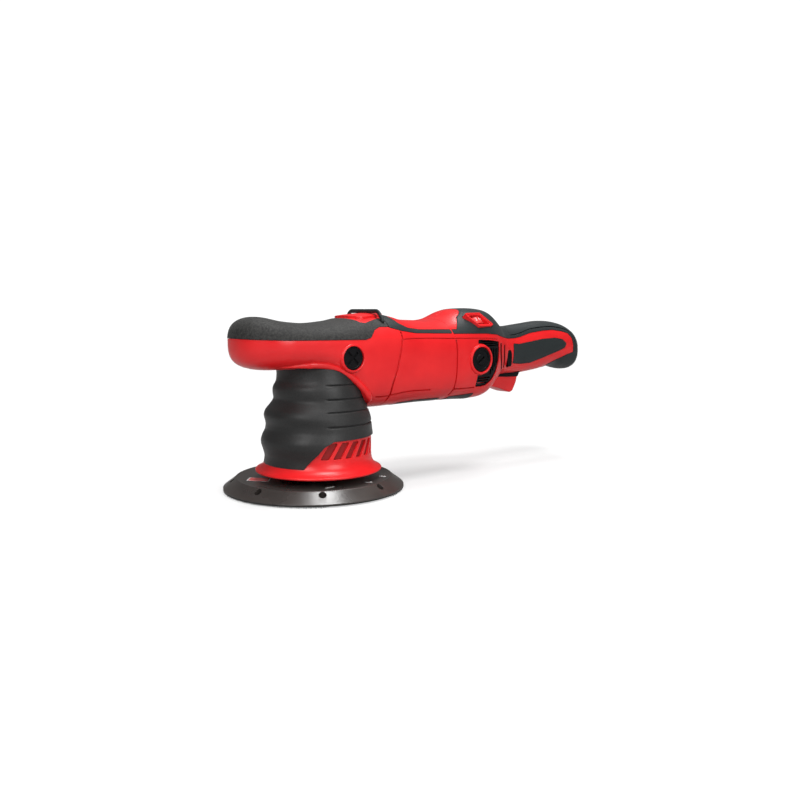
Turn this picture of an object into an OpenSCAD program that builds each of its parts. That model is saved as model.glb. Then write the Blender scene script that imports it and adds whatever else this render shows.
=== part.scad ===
// Dual action polisher: a horizontal motor turns a vertical spindle through a bevel gear pair,
// and the spindle carries the backing plate on a free bearing set off its axis.
// Origin: spindle axis at the face of the backing plate. +X to the tail, +Z up.

/* [Pad] */
// Diameter of the backing plate's face
plate_d = 150; // [125:25:150]
// Offset of the plate's bearing from the spindle axis, half the orbit
throw = 7.5; // [4:0.5:7.5]

/* [Body] */
// Height of the motor axis
motor_z = 106; // [106:1:107]
// Wall of the moulded housing
wall = 3; // [2.6:0.2:3.2]
// Thickness of the soft overmoulding
rubber_t = 1.5; // [1.2:0.1:1.6]
// Gap between separate pieces of the skin
skin_gap = 0.2; // [0.15:0.05:0.3]

/* [Gears] */
// Teeth on the motor pinion
pinion_teeth = 10; // [10:1:10]
// Teeth on the crown gear
crown_teeth = 36; // [36:1:36]
// Tooth size
gear_module = 1.2; // [1.2:0.1:1.2]

/* [Detail] */
// Length steps of the body surface
body_step = 9; // [6:1:12]
// Points round the body surface
body_points = 24; // [24:4:40]

/* [Hidden] */

$fn = 48;
slip = 0.04;        // radial running clearance of a shaft
far = 160;          // reaches past the body on every side

// ---- Body surface ---------------------------------------------------------

// Body sections along X: [x, underside, top, half width, squareness below, above]
STATIONS = [
  [-75, 102.5, 142.6, 34.5, 2.5, 2.5], [-58, 101.3, 143.2, 35.2, 2.5, 2.5], [-40, 101.2, 139.4, 35.6, 2.6, 2.6],
  [-20, 100.8, 137.4, 36.4, 2.7, 2.7], [-6, 98, 137.4, 37, 2.8, 2.8], [6, 91, 138.4, 37.5, 2.9, 2.9],
  [15, 82, 139.5, 38, 3, 3], [22, 72, 141, 38.3, 3.1, 3.1], [29, 67, 142.2, 38.5, 3.2, 3.2],
  [45, 66, 143.6, 38.8, 3.2, 3.2], [60, 66.3, 143.8, 39, 3.2, 3.2], [74, 66.8, 140.4, 39, 3.2, 3.2],
  [90, 67.2, 139.3, 39, 3.2, 3.2], [108, 67.2, 139.2, 39, 3.2, 3.2], [122, 67, 141.6, 38.8, 3.1, 3.1],
  [136, 66.7, 147.6, 38.4, 3, 2.8], [151, 66.5, 149.2, 37.6, 3, 2.6], [165, 67.8, 149, 36, 2.9, 2.4],
  [176, 73.5, 147.2, 31.5, 2.8, 2.3], [185, 80, 142, 27, 2.7, 2.2], [193, 84.5, 136, 22.5, 2.5, 2.2],
  [202, 85.5, 132.4, 20, 2.4, 2.3], [210, 85.3, 132.2, 18.6, 2.4, 2.3], [220, 85.5, 133.2, 18, 2.3, 2.3],
  [235, 87, 134.8, 18.2, 2.3, 2.3], [252, 89, 136.6, 19, 2.3, 2.3], [264, 91.4, 136.7, 19.6, 2.3, 2.3],
  [272, 91.8, 136, 20, 2.3, 2.3], [280, 89.6, 134.6, 20, 2.3, 2.3], [288, 88, 132.4, 19.4, 2.3, 2.3],
  [296, 88, 128.5, 18.4, 2.3, 2.3], [307, 91, 120, 16, 2.3, 2.3]];
nose_tip = -75;
nose_round = 38;    // length of the rounded nose
tail_tip = 307;
tail_round = 12;    // length of the rounded tail

// Slope of column c at station i
function slope(i, c) =
  let (a = STATIONS[max(i - 1, 0)], b = STATIONS[min(i + 1, len(STATIONS) - 1)])
  (b[c] - a[c]) / (b[0] - a[0]);
// Station before x
function before(x, i = 0) =
  (i >= len(STATIONS) - 2 || x < STATIONS[i + 1][0]) ? i : before(x, i + 1);
// Column c of the section at x, on a smooth curve through the stations
function section(x, c) =
  let (i = before(x), a = STATIONS[i], b = STATIONS[i + 1], d = b[0] - a[0], t = (x - a[0]) / d)
  (2 * t ^ 3 - 3 * t ^ 2 + 1) * a[c] + (t ^ 3 - 2 * t ^ 2 + t) * d * slope(i, c)
  + (3 * t ^ 2 - 2 * t ^ 3) * b[c] + (t ^ 3 - t ^ 2) * d * slope(i + 1, c);
// How much a section has closed at fraction u of a rounded end of power p
function closing(u, p) = u <= 0 ? 1 : (1 - min(u, 0.9985) ^ p) ^ (1 / p);
function end_u(x, inset) = max((nose_tip + nose_round - x) / (nose_round - inset),
  (x - tail_tip + tail_round) / (tail_round - inset));
function end_p(x, nose_p, tail_p) = x < 0 ? nose_p : tail_p;
function mid_z(x) = (section(x, 1) + section(x, 2)) / 2;
function half_z(x, inset) = ((section(x, 2) - section(x, 1)) / 2 - inset)
  * closing(end_u(x, inset), end_p(x, 3.6, 3.2));
function half_y(x, inset) = (section(x, 3) - inset)
  * closing(end_u(x, inset), end_p(x, 2.2, 2.4));
function power(v, p) = sign(v) * abs(v) ^ p;
function ring(x, inset) =
  let (h = half_z(x, inset), w = half_y(x, inset), z = mid_z(x))
  [for (k = [0 : body_points - 1])
    let (a = 360 * (k + 0.5) / body_points, q = 2 / section(x, a > 180 ? 4 : 5))
    [x, w * power(cos(a), q), z + h * power(sin(a), q)]];
// Distance from the middle plane to the surface at x and z
function side_y(x, z, inset = 0) =
  let (n = section(x, z < mid_z(x) ? 4 : 5), r = min(abs(z - mid_z(x)) / half_z(x, inset), 1))
  half_y(x, inset) * (1 - r ^ n) ^ (1 / n);

// Places of the rings: close together where the ends round off
function ring_places(inset) = concat(
  [for (a = [86 : -9 : 5]) nose_tip + nose_round - (nose_round - inset) * sin(a)],
  [for (x = [nose_tip + nose_round : body_step : tail_tip - tail_round - 2]) x],
  [for (a = [0 : 12 : 84]) tail_tip - tail_round + (tail_round - inset) * sin(a)]);

// The body surface drawn in by inset on every side
module body_solid(inset) {
  xs = ring_places(inset);
  m = body_points;
  last = len(xs) - 1;
  polyhedron(
    points = [for (x = xs) each ring(x, inset)],
    faces = concat(
      [[for (k = [0 : m - 1]) k]],
      [for (i = [0 : last - 1], k = [0 : m - 1]) let (n = (k + 1) % m)
        [i * m + k, (i + 1) * m + k, (i + 1) * m + n, i * m + n]],
      [[for (k = [m - 1 : -1 : 0]) last * m + k]]));
}

// A flowing shell is one mesh from here on
module shell() { resize([0, 0, 0]) children(); }

// A side-view outline taken right across the body
module across(points, grow = 0) {
  rotate([90, 0, 0]) linear_extrude(far, center = true) offset(delta = grow) polygon(points);
}

// ---- Outlines in side view [x, z] ------------------------------------------

// Seams that part the housing into head, motor and rear mouldings
SEAM_A = [[46, 40], [47.4, 73], [48.6, 87], [52.2, 98], [55, 109], [58.4, 124], [58.6, 130],
  [56, 140], [56, 170]];
SEAM_B = [[114, 40], [116.6, 73], [117.2, 90], [117.6, 108], [117.4, 122], [115.4, 138],
  [117, 170]];
function shifted(line, dx) = [for (p = line) [p[0] + dx, p[1]]];
function backwards(line) = [for (i = [len(line) - 1 : -1 : 0]) line[i]];
HEAD_ZONE = concat([[-far, 40]], SEAM_A, [[-far, 170]]);
MOTOR_ZONE = concat(shifted(SEAM_A, skin_gap), backwards(shifted(SEAM_B, -skin_gap)));
REAR_ZONE = concat(SEAM_B, [[2 * far, 170], [2 * far, 40]]);

NOSE_GRIP_ZONE = [[-95, 128], [-70, 126], [-45, 125.2], [23, 124.4], [28, 126], [34, 132],
  [40, 134.3], [48.9, 134.3], [49.3, 170], [-95, 170]];
SHOULDER_ZONE = [[49.4, 133.8], [60, 131], [76, 128.7], [114.8, 127.8], [114.8, 131], [82, 131.4],
  [69, 133], [61, 137], [58, 142], [58, 170], [49.9, 170]];
SHOULDER_ROOM = [[48.6, 134], [60, 131], [61, 137], [58, 142], [58, 170], [48.6, 170]];
DIAL_SURROUND_ZONE = [[116.2, 127.6], [155, 127], [171, 125.8], [181, 123.6], [199, 121], [203, 121],
  [206, 170], [147, 170], [144, 149], [131, 141.3], [122, 131], [116.2, 131]];
HANDLE_GRIP_ZONE = [[203.25, 121], [209, 121.2], [217, 122.2], [232, 125.8], [249, 127.8],
  [262, 128.3], [274, 126.8], [284, 124.6], [289, 119.8], [290.5, 112.5], [290.4, 105.3],
  [281, 103.2], [268, 97.8], [262, 94.4], [258, 88], [262, 70], [320, 70], [320, 170],
  [206.25, 170]];
INLAY_ZONE = [[206, 97.4], [218, 96.2], [232, 96.8], [248, 101.2], [267, 106.8], [277, 110.3],
  [279, 114.4], [273.5, 118.6], [263, 120.2], [246, 119.4], [229, 117.1], [214, 115.2], [206, 116]];
BELLY_ZONE = [[66, 50], [68, 67.6], [80, 69], [104, 69], [106, 50]];
BELLY_SIDE = 20;    // half width of the belly trim

module crown_window(grow = 0) {
  translate([0, 0, 130]) linear_extrude(40) offset(delta = grow) polygon([[22, -14], [25, -25],
    [29, -26.5], [42, -21.5], [60, -19], [60, 19], [42, 21.5], [29, 26.5], [25, 25], [22, 14]]);
}

// ---- Boot and hood ---------------------------------------------------------

// Outside of the rubber boot as [radius, z], above and below the shroud's rim
BOOT_TOP = 107;
BOOT_PROFILE = [[46.2, 24.6], [46.2, 27], [46.4, 30.5], [47, 37.5], [47, 43], [46, 48],
  [44.6, 52], [44.2, 58], [43.6, 65], [41.6, 71], [38.4, 76.5], [37.2, 81.5], [35.2, 89],
  [33.4, 98], [33, BOOT_TOP]];
boot_gap = 0.5;

module boot_space() {
  rotate_extrude($fn = 56)
    polygon(concat([[0, 20]], [for (p = BOOT_PROFILE) [p[0] + boot_gap, p[1]]],
      [[33 + boot_gap, 118], [0, 118]]));
}

// ---- Red mouldings -----------------------------------------------------------

module hollow_body(zone) {
  intersection() {
    difference() {
      body_solid(0);
      body_solid(wall);
    }
    across(zone);
  }
}

// What a piece of overmoulding of this outline takes out of the skin
module rubber_pocket(zone) {
  difference() {
    across(zone, skin_gap);
    body_solid(rubber_t + skin_gap);
  }
}

module rubber_skin(zone) {
  intersection() {
    difference() {
      body_solid(0);
      body_solid(rubber_t);
    }
    across(zone);
  }
}

plug_x = 10.5;
plug_z = 110;
plug_r = 9.3;
plug_face = 37;     // distance of the plug's face from the middle plane

module head_cover() {
  color("red") shell() difference() {
    hollow_body(HEAD_ZONE);
    difference() {
      rubber_pocket(NOSE_GRIP_ZONE);
      crown_window();
    }
    rubber_pocket(SHOULDER_ROOM);
    boot_space();
    translate([plug_x, 0, plug_z]) rotate([90, 0, 0])
      cylinder(r = plug_r + skin_gap, h = far, center = true);
  }
}

module nose_grip() {
  color("dimgray") shell() difference() {
    rubber_skin(NOSE_GRIP_ZONE);
    crown_window(skin_gap);
    bumper_bar(skin_gap);
  }
}

bar_x = 46;
bar_thick = 4;
bar_top = 148.4;
bar_half = 20;

// The raised bar that keeps the tool off its back
module bumper_bar(grow = 0) {
  translate([bar_x, 0, 0]) rotate([90, 0, 90])
    linear_extrude(bar_thick + 2 * grow, center = true) offset(delta = grow)
      polygon([[-bar_half - 8, 136.5], [-bar_half - 4.5, 143.5], [-bar_half, bar_top],
        [bar_half, bar_top], [bar_half + 4.5, 143.5], [bar_half + 8, 136.5]]);
}

module top_bumper() {
  color("dimgray") shell() difference() {
    bumper_bar();
    body_solid(-skin_gap / 2);
    translate([bar_x, 0, bar_top]) cube([2 * bar_thick, 3, 3], center = true);
  }
}

module motor_housing() {
  color("red") shell() difference() {
    hollow_body(MOTOR_ZONE);
    rubber_pocket(SHOULDER_ZONE);
    intersection() {
      rubber_pocket(BELLY_ZONE);
      cube([far * 2, 2 * (BELLY_SIDE + skin_gap), far * 2], center = true);
    }
    boot_space();
  }
}

module shoulder_trim() {
  color("dimgray") shell() rubber_skin(SHOULDER_ZONE);
}

module belly_trim() {
  color("dimgray") shell() intersection() {
    rubber_skin(BELLY_ZONE);
    cube([far * 2, 2 * BELLY_SIDE, far * 2], center = true);
  }
}

// Brush caps, on the motor axis behind the commutator
cap_x = 146;
cap_z = 104;
cap_r = 10.8;
cap_face = 39.4;
cap_ring_r = 13.6;

// Opening behind each brush cap, a C round its ring
module grille_outline(grow = 0) {
  offset(delta = grow) difference() {
    polygon([[143.5, 79.6], [151, 79.4], [157.5, 80.4], [163.5, 84.6], [169, 92], [172.6, 101],
      [174, 110], [173.6, 119], [160, 120.6], [143.5, 121.6], [143.5, 116], [150, 114], [155, 104],
      [150, 94], [143.5, 92]]);
    translate([cap_x, cap_z]) circle(cap_ring_r + 0.7, $fn = 40);
  }
}

module grille_space(grow = 0) {
  rotate([90, 0, 0]) linear_extrude(far, center = true) grille_outline(grow);
}

trigger_x = 187;
trigger_y = 9;      // half width of the trigger
pivot = [189, 0, 90];
pin_r = 2;
lock_x = 199;
lock_z = 102;
inlet_z = 101;
inlet_r = 7;

// Places of the screws that join the handle's two halves, [x, z]
HANDLE_SCREWS = [[137.8, 83], [238, 92.5], [249, 124], [283, 95.5]];
screw_r = 1.8;
screw_head_r = 2.8;
boss_r = 4;

// One rear moulding; side is -1 for left and 1 for right
module rear_half(side, $fn = 24) {
  difference() {
    union() {
      hollow_body(REAR_ZONE);
      intersection() {
        body_solid(0.5);
        for (p = HANDLE_SCREWS)
          translate([p[0], 0, p[1]]) rotate([90, 0, 0])
            cylinder(r = boss_r, h = far, center = true, $fn = 16);
      }
      translate([cap_x, side * 34, cap_z]) rotate([-90 * side, 0, 0])
        cylinder(r = cap_ring_r, h = 5.6);
      for (s = [-1, 1])
        translate([pivot[0] - 5, s * 11.5 - 1, pivot[2] - 4]) cube([9, 2, 9]);
    }
    rubber_pocket(DIAL_SURROUND_ZONE);
    rubber_pocket(HANDLE_GRIP_ZONE);
    rubber_pocket(INLAY_ZONE);
    grille_space(skin_gap);
    translate([cap_x, 0, cap_z]) rotate([90, 0, 0])
      cylinder(r = cap_r + skin_gap, h = far, center = true);
    translate([178, -trigger_y - 0.8, 60]) cube([48, 2 * trigger_y + 1.6, 37]);
    translate(pivot) rotate([90, 0, 0]) cylinder(r = pin_r + 0.2, h = 30, center = true);
    translate([285, 0, inlet_z]) rotate([0, 90, 0]) cylinder(r = inlet_r + skin_gap, h = 30);
    dial_space(skin_gap);
    lock_space();
    for (p = HANDLE_SCREWS) screw_space(p);
    translate([0, -side * (far / 2 - 0.1), 0]) cube([4 * far, far, 4 * far], center = true);
  }
}

module rear_housing_left() { color("red") shell() rear_half(-1); }
module rear_housing_right() { color("red") shell() rear_half(1); }

module dial_surround() {
  color("dimgray") shell() difference() {
    rubber_skin(DIAL_SURROUND_ZONE);
    dial_space(skin_gap);
  }
}

module handle_grip() {
  color("dimgray") shell() difference() {
    rubber_skin(HANDLE_GRIP_ZONE);
    translate([285, 0, inlet_z]) rotate([0, 90, 0]) cylinder(r = inlet_r + skin_gap, h = 30);
    screw_space(HANDLE_SCREWS[3]);
    screw_space(HANDLE_SCREWS[2]);
  }
}

module side_inlay(side) {
  color("dimgray") shell() intersection() {
    rubber_skin(INLAY_ZONE);
    translate([0, side * far / 2, 0]) cube([4 * far, far, 4 * far], center = true);
  }
}

module side_inlay_left() { side_inlay(-1); }
module side_inlay_right() { side_inlay(1); }

module vent_grille(side) {
  slat = 2.4;
  color("dimgray") shell() difference() {
    intersection() {
      difference() {
        body_solid(0.4);
        body_solid(wall - 0.4);
      }
      grille_space();
      translate([0, side * far / 2, 0]) cube([4 * far, far, 4 * far], center = true);
    }
    for (i = [0 : 4])
      translate([157.5 + i * slat, side * 30 - 40, 90 + 2 * i]) cube([1.2, 80, 24 - 3 * i]);
  }
}

module vent_grille_left() { vent_grille(-1); }
module vent_grille_right() { vent_grille(1); }

// ---- Caps and plugs ----------------------------------------------------------

module on_side(side, x, y, z) {
  translate([x, side * y, z]) rotate([-90 * side, 0, 0]) children();
}

module brush_cap(side) {
  color("dimgray") on_side(side, cap_x, 34.2, cap_z) difference() {
    cylinder(r = cap_r, h = cap_face - 34.2);
    translate([0, 0, cap_face - 34.2 - 1.2]) cylinder(r = 8.6, h = 2);
    translate([-7, -1.1, 2.6]) cube([14, 2.2, 5]);
  }
}

module brush_cap_left() { brush_cap(-1); }
module brush_cap_right() { brush_cap(1); }

module side_plug(side) {
  color("dimgray") on_side(side, plug_x, 33, plug_z) difference() {
    cylinder(r = plug_r, h = plug_face - 33);
    for (a = [45, 135])
      rotate([0, 0, a]) translate([-7, -1.3, 2.4]) cube([14, 2.6, 5]);
  }
}

module side_plug_left() { side_plug(-1); }
module side_plug_right() { side_plug(1); }

// ---- Speed dial on the left shoulder -----------------------------------------

dial_at = [151, -29, 139.2];
dial_yaw = 12;
dial_tilt = 47;
dial_r = 11.6;
dial_t = 7;
dial_depth = 11.4;  // distance of the dial's axis below the shoulder
BEZEL = [[-17, 7.6], [8, 8], [16.5, -6.4], [12, -8.2], [-6, -8]];

module at_dial() { translate(dial_at) rotate([0, 0, dial_yaw]) rotate([dial_tilt, 0, 0]) children(); }

module dial_space(grow = 0) {
  at_dial() translate([0, 0, -5]) linear_extrude(14) offset(delta = grow) polygon(BEZEL);
}

module dial_bezel() {
  color("red") at_dial() difference() {
    translate([0, 0, -4]) linear_extrude(4.8) polygon(BEZEL);
    translate([1, 0, -2]) cube([17, dial_t + 1, 12], center = true);
    translate([0, 0, -dial_depth]) rotate([90, 0, 0])
      cylinder(r = dial_r + 0.6, h = dial_t + 1, center = true);
  }
}

module speed_dial() {
  ribs = 24;
  color("red") at_dial() translate([0, 0, -dial_depth]) rotate([90, 0, 0]) union() {
    difference() {
      cylinder(r = dial_r, h = dial_t, center = true);
      for (i = [0 : ribs - 1])
        rotate([0, 0, 360 * i / ribs]) translate([dial_r, 0, -dial_t / 2])
          cylinder(r = 0.6, h = 2.4, center = true);
    }
    translate([0, 0, -dial_t / 2 - 5]) cylinder(r = 1.5, h = 5.5);
  }
}

module speed_control_board() {
  color("darkgreen") {
    at_dial() translate([0, 0, -dial_depth]) rotate([90, 0, 0])
      translate([0, 0, -dial_t / 2 - 5.2]) difference() {
        cylinder(r = 5, h = 4.6);
        translate([0, 0, -1]) cylinder(r = 1.5 + slip, h = 8);
      }
    translate([171.5, -9, 127.2]) cube([24, 18, 1.6]);
    translate([175.5, -6, 128.9]) cube([8, 5, 5]);
    translate([175.5, 2, 128.9]) cylinder(r = 3, h = 7);
    translate([185.5, 0, 128.9]) cube([6, 6, 2.5]);
  }
}

// ---- Trigger, switch and lock --------------------------------------------------

module trigger() {
  color("red") difference() {
    rotate([90, 0, 0]) linear_extrude(2 * trigger_y, center = true)
      polygon([[184, 86], [181.5, 78.5], [186, 75.3], [196, 73.6], [206, 70], [212, 68.4],
        [215.5, 69.8], [220, 78], [221.5, 84], [224, 88], [224, 93.8], [204, 93.8],
        [200.5, 91.2], [195, 91.2], [193.5, 93.8], [185, 93.8]]);
    translate(pivot) rotate([90, 0, 0]) cylinder(r = pin_r + slip, h = 30, center = true);
    translate([194, -trigger_y + 2, 77.5]) cube([18, 2 * trigger_y - 4, 12]);
  }
}

module trigger_pin() {
  color("silver") translate(pivot) rotate([90, 0, 0]) cylinder(r = pin_r, h = 25, center = true);
}

plunger_x = 205;
plunger_r = 3;
plunger_z = 94.3;
switch_z = 101;
spring_gap = 0.2;

module switch_plunger() {
  color("black") translate([plunger_x, 0, plunger_z]) {
    cylinder(r = plunger_r, h = 12);
    cylinder(r = 5, h = 1.1);
  }
}

module switch_module() {
  color("black") difference() {
    translate([196, -7, switch_z]) cube([33, 14, 20]);
    translate([plunger_x, 0, switch_z - 1]) cylinder(r = plunger_r + slip, h = 11);
  }
}

// A coil spring along Z: mean radius r, wire radius w, from z = 0 to z = h
module coil(r, w, h, turns, steps = 10, sides = 5) {
  n = round(turns * steps);
  rise = h - 2 * w;
  polyhedron(
    points = [for (i = [0 : n]) let (a = 360 * i / steps, z = w + rise * i / n)
      each [for (k = [0 : sides - 1]) let (b = 360 * k / sides)
        [(r + w * cos(b)) * cos(a), (r + w * cos(b)) * sin(a), z + w * sin(b)]]],
    faces = concat(
      [[for (k = [sides - 1 : -1 : 0]) k]],
      [for (i = [0 : n - 1], k = [0 : sides - 1]) let (m = (k + 1) % sides)
        [i * sides + k, i * sides + m, (i + 1) * sides + m, (i + 1) * sides + k]],
      [[for (k = [0 : sides - 1]) n * sides + k]]));
}

module trigger_spring() {
  low = plunger_z + 1.1 + spring_gap;
  color("silver") translate([plunger_x, 0, low])
    coil(plunger_r + 1.1, 0.4, switch_z - spring_gap - low, 3);
}

lock_inner = 10.4;  // distance of the lock button's inner end from the middle plane

module lock_outline(grow = 0) {
  for (s = [-1, 1]) translate([0, s * 4.5]) circle(3.2 + grow);
  square([6.4 + 2 * grow, 9], center = true);
}

module lock_space() {
  on_side(-1, lock_x, lock_inner + 2.4, lock_z) linear_extrude(20) lock_outline(0.4);
}

module lock_button() {
  reach = side_y(lock_x, lock_z) + 1 - lock_inner;
  color("black") on_side(-1, lock_x, lock_inner, lock_z) {
    linear_extrude(reach) lock_outline();
    linear_extrude(1.2) lock_outline(0.8);
  }
}

module cord_inlet() {
  color("black") translate([0, 0, inlet_z]) rotate([0, 90, 0]) difference() {
    union() {
      translate([0, 0, 290.5]) cylinder(r = inlet_r, h = 15);
      translate([0, 0, 288.5]) cylinder(r = inlet_r + 2, h = 2.4);
    }
    translate([0, 0, 280]) cylinder(r = 4, h = 40);
  }
}

// ---- Boot, shroud and castings -------------------------------------------------

case_r = 30;
case_low = 88;

module rubber_boot() {
  inner = [[case_r + 0.3, BOOT_TOP], [case_r + 0.3, 85.5], [33.8, 80], [36, 74.3], [38.8, 70],
    [39.3, 65.5], [41.5, 60.5], [41.5, 48.3], [44.6, 48.3], [44.6, 29.5], [45.5, 25.6],
    [45.9, 24.6]];
  color("dimgray") difference() {
    rotate_extrude() polygon(concat(BOOT_PROFILE, inner));
    rotate([90, 0, 0]) linear_extrude(far, center = true) {
      polygon([[-38, 15], [-36, 21], [-16, 46.6], [80, 46.6], [80, 15]]);
      polygon([[-14, 122], [-4, 103.5], [10, 95.5], [24, 85], [60, 85], [60, 122]]);
    }
    for (z = [57, 68, 78, 89])
      translate([0, 0, z]) rotate_extrude(angle = 222, start = -111)
        translate([radius_at(z) - 0.7, -0.6]) square([6, 1.2]);
  }
}

// Radius of the boot at z
function radius_at(z) = lookup(z, [for (p = BOOT_PROFILE) [p[1], p[0]]]);

shroud_top = 47.9;
shroud_slots = 6;

module slot_outline(length, width) {
  square([length - width, width], center = true);
  for (s = [-1, 1]) translate([s * (length - width) / 2, 0]) circle(width / 2);
}

module vent_shroud() {
  color("red") difference() {
    rotate_extrude() polygon([[52, 17.2], [52, 19.4], [48, 21.6], [45.2, 25], [44.3, 29],
      [44.3, shroud_top],
      [38.2, shroud_top], [38.2, 45], [42, 45], [42, 28], [43.4, 22.6], [49, 17.2]]);
    for (i = [0 : shroud_slots - 1], side = [-1, 1])
      rotate([0, 0, side * (31 + 18 * i)]) translate([43, 0, 36]) rotate([side * 18, 0, 0])
        rotate([0, 90, 0]) linear_extrude(6, center = true) slot_outline(13, 4);
    for (a = [45 : 90 : 315])
      rotate([0, 0, a]) translate([39.8, 0, 40]) cylinder(r = 1.6, h = 20);
  }
}

module gear_case() {
  color("lightgray") difference() {
    union() {
      rotate_extrude() polygon([[0, case_low], [case_r, case_low], [case_r, 117], [26, 121.5],
        [15, 124], [0, 124]]);
      along_x(20) cylinder(r = 17, h = 22);
    }
    rotate_extrude() polygon([[0, case_low - 1], [23.6, case_low - 1], [23.6, 108], [20, 111.5],
      [11, 111.5], [11, 119], [0, 119]]);
    along_x(10) cylinder(r = 8.2, h = 40);
    along_x(33) cylinder(r = 13, h = 20);
    for (a = [45 : 90 : 315])
      rotate([0, 0, a]) translate([27, 0, case_low - 1]) cylinder(r = 1.9, h = 13);
  }
}

module spindle_carrier() {
  color("lightgray") difference() {
    rotate_extrude() polygon([[12, 71], [12, 74], [17.5, 74], [17.5, case_low],
      [case_r, case_low], [case_r, 85], [33.4, 79.5], [35.6, 74], [38.4, 69.5], [39, 65],
      [41.2, 60], [41.2, 48], [37.9, 48], [37.9, 66], [33.5, 71]]);
    for (a = [45 : 90 : 315])
      rotate([0, 0, a]) {
        translate([27, 0, 60]) cylinder(r = 2.1, h = 40);
        translate([27, 0, 60]) cylinder(r = 3.7, h = 15.2);
        translate([39.8, 0, 47]) cylinder(r = 1.3, h = 9);
      }
  }
}

module gear_case_screws() {
  color("silver") for (a = [45 : 90 : 315])
    rotate([0, 0, a]) translate([27, 0, 0]) {
      translate([0, 0, 75.3]) cylinder(r = 1.8, h = 23);
      translate([0, 0, 71.8]) cylinder(r = 3.5, h = 3.4);
    }
}

module shroud_screws() {
  color("silver") for (a = [45 : 90 : 315])
    rotate([0, 0, a]) translate([39.8, 0, 0]) {
      translate([0, 0, 44.9]) cylinder(r = 1.2, h = 9.5);
      translate([0, 0, 43.4]) cylinder(r = 1.9, h = 1.5);
    }
}

// ---- Bearings ------------------------------------------------------------------

// A ball bearing on Z from z = 0: bore, outside radius and width
module bearing(bore_r, outer_r, width, balls = 8) {
  mid = (bore_r + outer_r) / 2;
  ball_r = (outer_r - bore_r) * 0.24;
  land = (outer_r - bore_r) * 0.3;
  for (inner = [0, 1])
    difference() {
      rotate_extrude() translate([inner ? bore_r : outer_r - land, 0]) square([land, width]);
      translate([0, 0, width / 2]) rotate_extrude() translate([mid, 0]) circle(ball_r + 0.05);
    }
  for (i = [0 : balls - 1])
    rotate([0, 0, 360 * i / balls]) translate([mid, 0, width / 2]) sphere(ball_r);
}

module upper_spindle_bearing() { color("silver") translate([0, 0, 112]) bearing(4, 10.98, 6.9, 7); }
module lower_spindle_bearing() { color("silver") translate([0, 0, 74]) bearing(7.5, 17.48, 11, 8); }
module front_motor_bearing() { color("silver") along_x(33) bearing(5, 12.98, 8, 8); }
module rear_motor_bearing() { color("silver") along_x(163) bearing(4, 10.98, 7, 7); }

module pad_bearings() {
  color("silver") translate([0, throw, 0]) {
    translate([0, 0, 28]) bearing(6, 13.98, 8, 8);
    translate([0, 0, 37]) bearing(6, 13.98, 8, 8);
  }
}

// ---- Spindle, gears and counterweight --------------------------------------------

module along_x(x) { translate([x, 0, motor_z]) rotate([0, 90, 0]) children(); }

module spindle() {
  color("silver") {
    translate([0, 0, 51]) cylinder(r = 7.5 - slip, h = 47);
    translate([0, 0, 70]) cylinder(r = 10, h = 3.8);
    translate([0, 0, 98]) cylinder(r = 5, h = 13);
    translate([0, 0, 111]) cylinder(r = 4 - slip, h = 7.6);
  }
}

crown_r = gear_module * crown_teeth / 2;
pinion_r = gear_module * pinion_teeth / 2;
face_ratio = 0.68;      // small end of the teeth, as a part of the large end
addendum = 0.75 * gear_module;
dedendum = 1.2 * gear_module;
backlash = 0.14;
crown_angle = atan(crown_r / pinion_r);
pressure_angle = 20;

// A point of the crown's tooth at its large end: height over the pitch cone, sideways offset
function crown_point(h, y) = [crown_r + h * cos(crown_angle), y, -pinion_r + h * sin(crown_angle)];

module crown_tooth() {
  half = PI * gear_module / 4 - backlash;
  root = half + dedendum * tan(pressure_angle);
  tip = half - addendum * tan(pressure_angle);
  outer = [crown_point(-dedendum - 0.6, -root), crown_point(-dedendum - 0.6, root),
    crown_point(addendum, tip), crown_point(addendum, -tip)];
  inner = [for (p = outer) face_ratio * p];
  polyhedron(points = concat(outer, inner), faces = [[0, 3, 2, 1], [4, 5, 6, 7],
    [0, 1, 5, 4], [1, 2, 6, 5], [2, 3, 7, 6], [3, 0, 4, 7]]);
}

module crown_gear() {
  low = crown_point(-dedendum, 0);
  color("gray") shell() difference() {
    union() {
      translate([0, 0, motor_z]) rotate_extrude()
        polygon([[0, -20], [12, -20], [18, -11], [low[0] - 0.3, -10], [low[0], low[2]],
          [face_ratio * low[0], face_ratio * low[2]], [9, face_ratio * low[2] - 1],
          [0, face_ratio * low[2] - 1]]);
      for (i = [0 : crown_teeth - 1])
        translate([0, 0, motor_z]) rotate([0, 0, 360 * (i + 0.5) / crown_teeth]) crown_tooth();
    }
    cylinder(r = 7.6, h = 300);
    translate([0, 0, 98]) cylinder(r = 9, h = 20);
  }
}

// Involute flank of the pinion: the point where the unwound string is at angle t
base_r = pinion_r * cos(pressure_angle);
function involute(t) = base_r * [cos(t) + t * PI / 180 * sin(t), sin(t) - t * PI / 180 * cos(t)];
function turn(p, a) = [p[0] * cos(a) - p[1] * sin(a), p[0] * sin(a) + p[1] * cos(a)];

module pinion_outline() {
  t_pitch = tan(pressure_angle) * 180 / PI;
  half = 90 / pinion_teeth - backlash / pinion_r * 180 / PI + (t_pitch - pressure_angle);
  t_tip = sqrt(((pinion_r + addendum) / base_r) ^ 2 - 1) * 180 / PI;
  flank = [for (k = [0 : 4]) turn(involute(t_tip * k / 4), -half)];
  other = [for (k = [4 : -1 : 0]) [flank[k][0], -flank[k][1]]];
  circle(pinion_r - dedendum + 0.1);
  for (i = [0 : pinion_teeth - 1])
    rotate(360 * i / pinion_teeth)
      polygon(concat([[3, flank[0][1]]], flank, other, [[3, -flank[0][1]]]));
}

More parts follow.
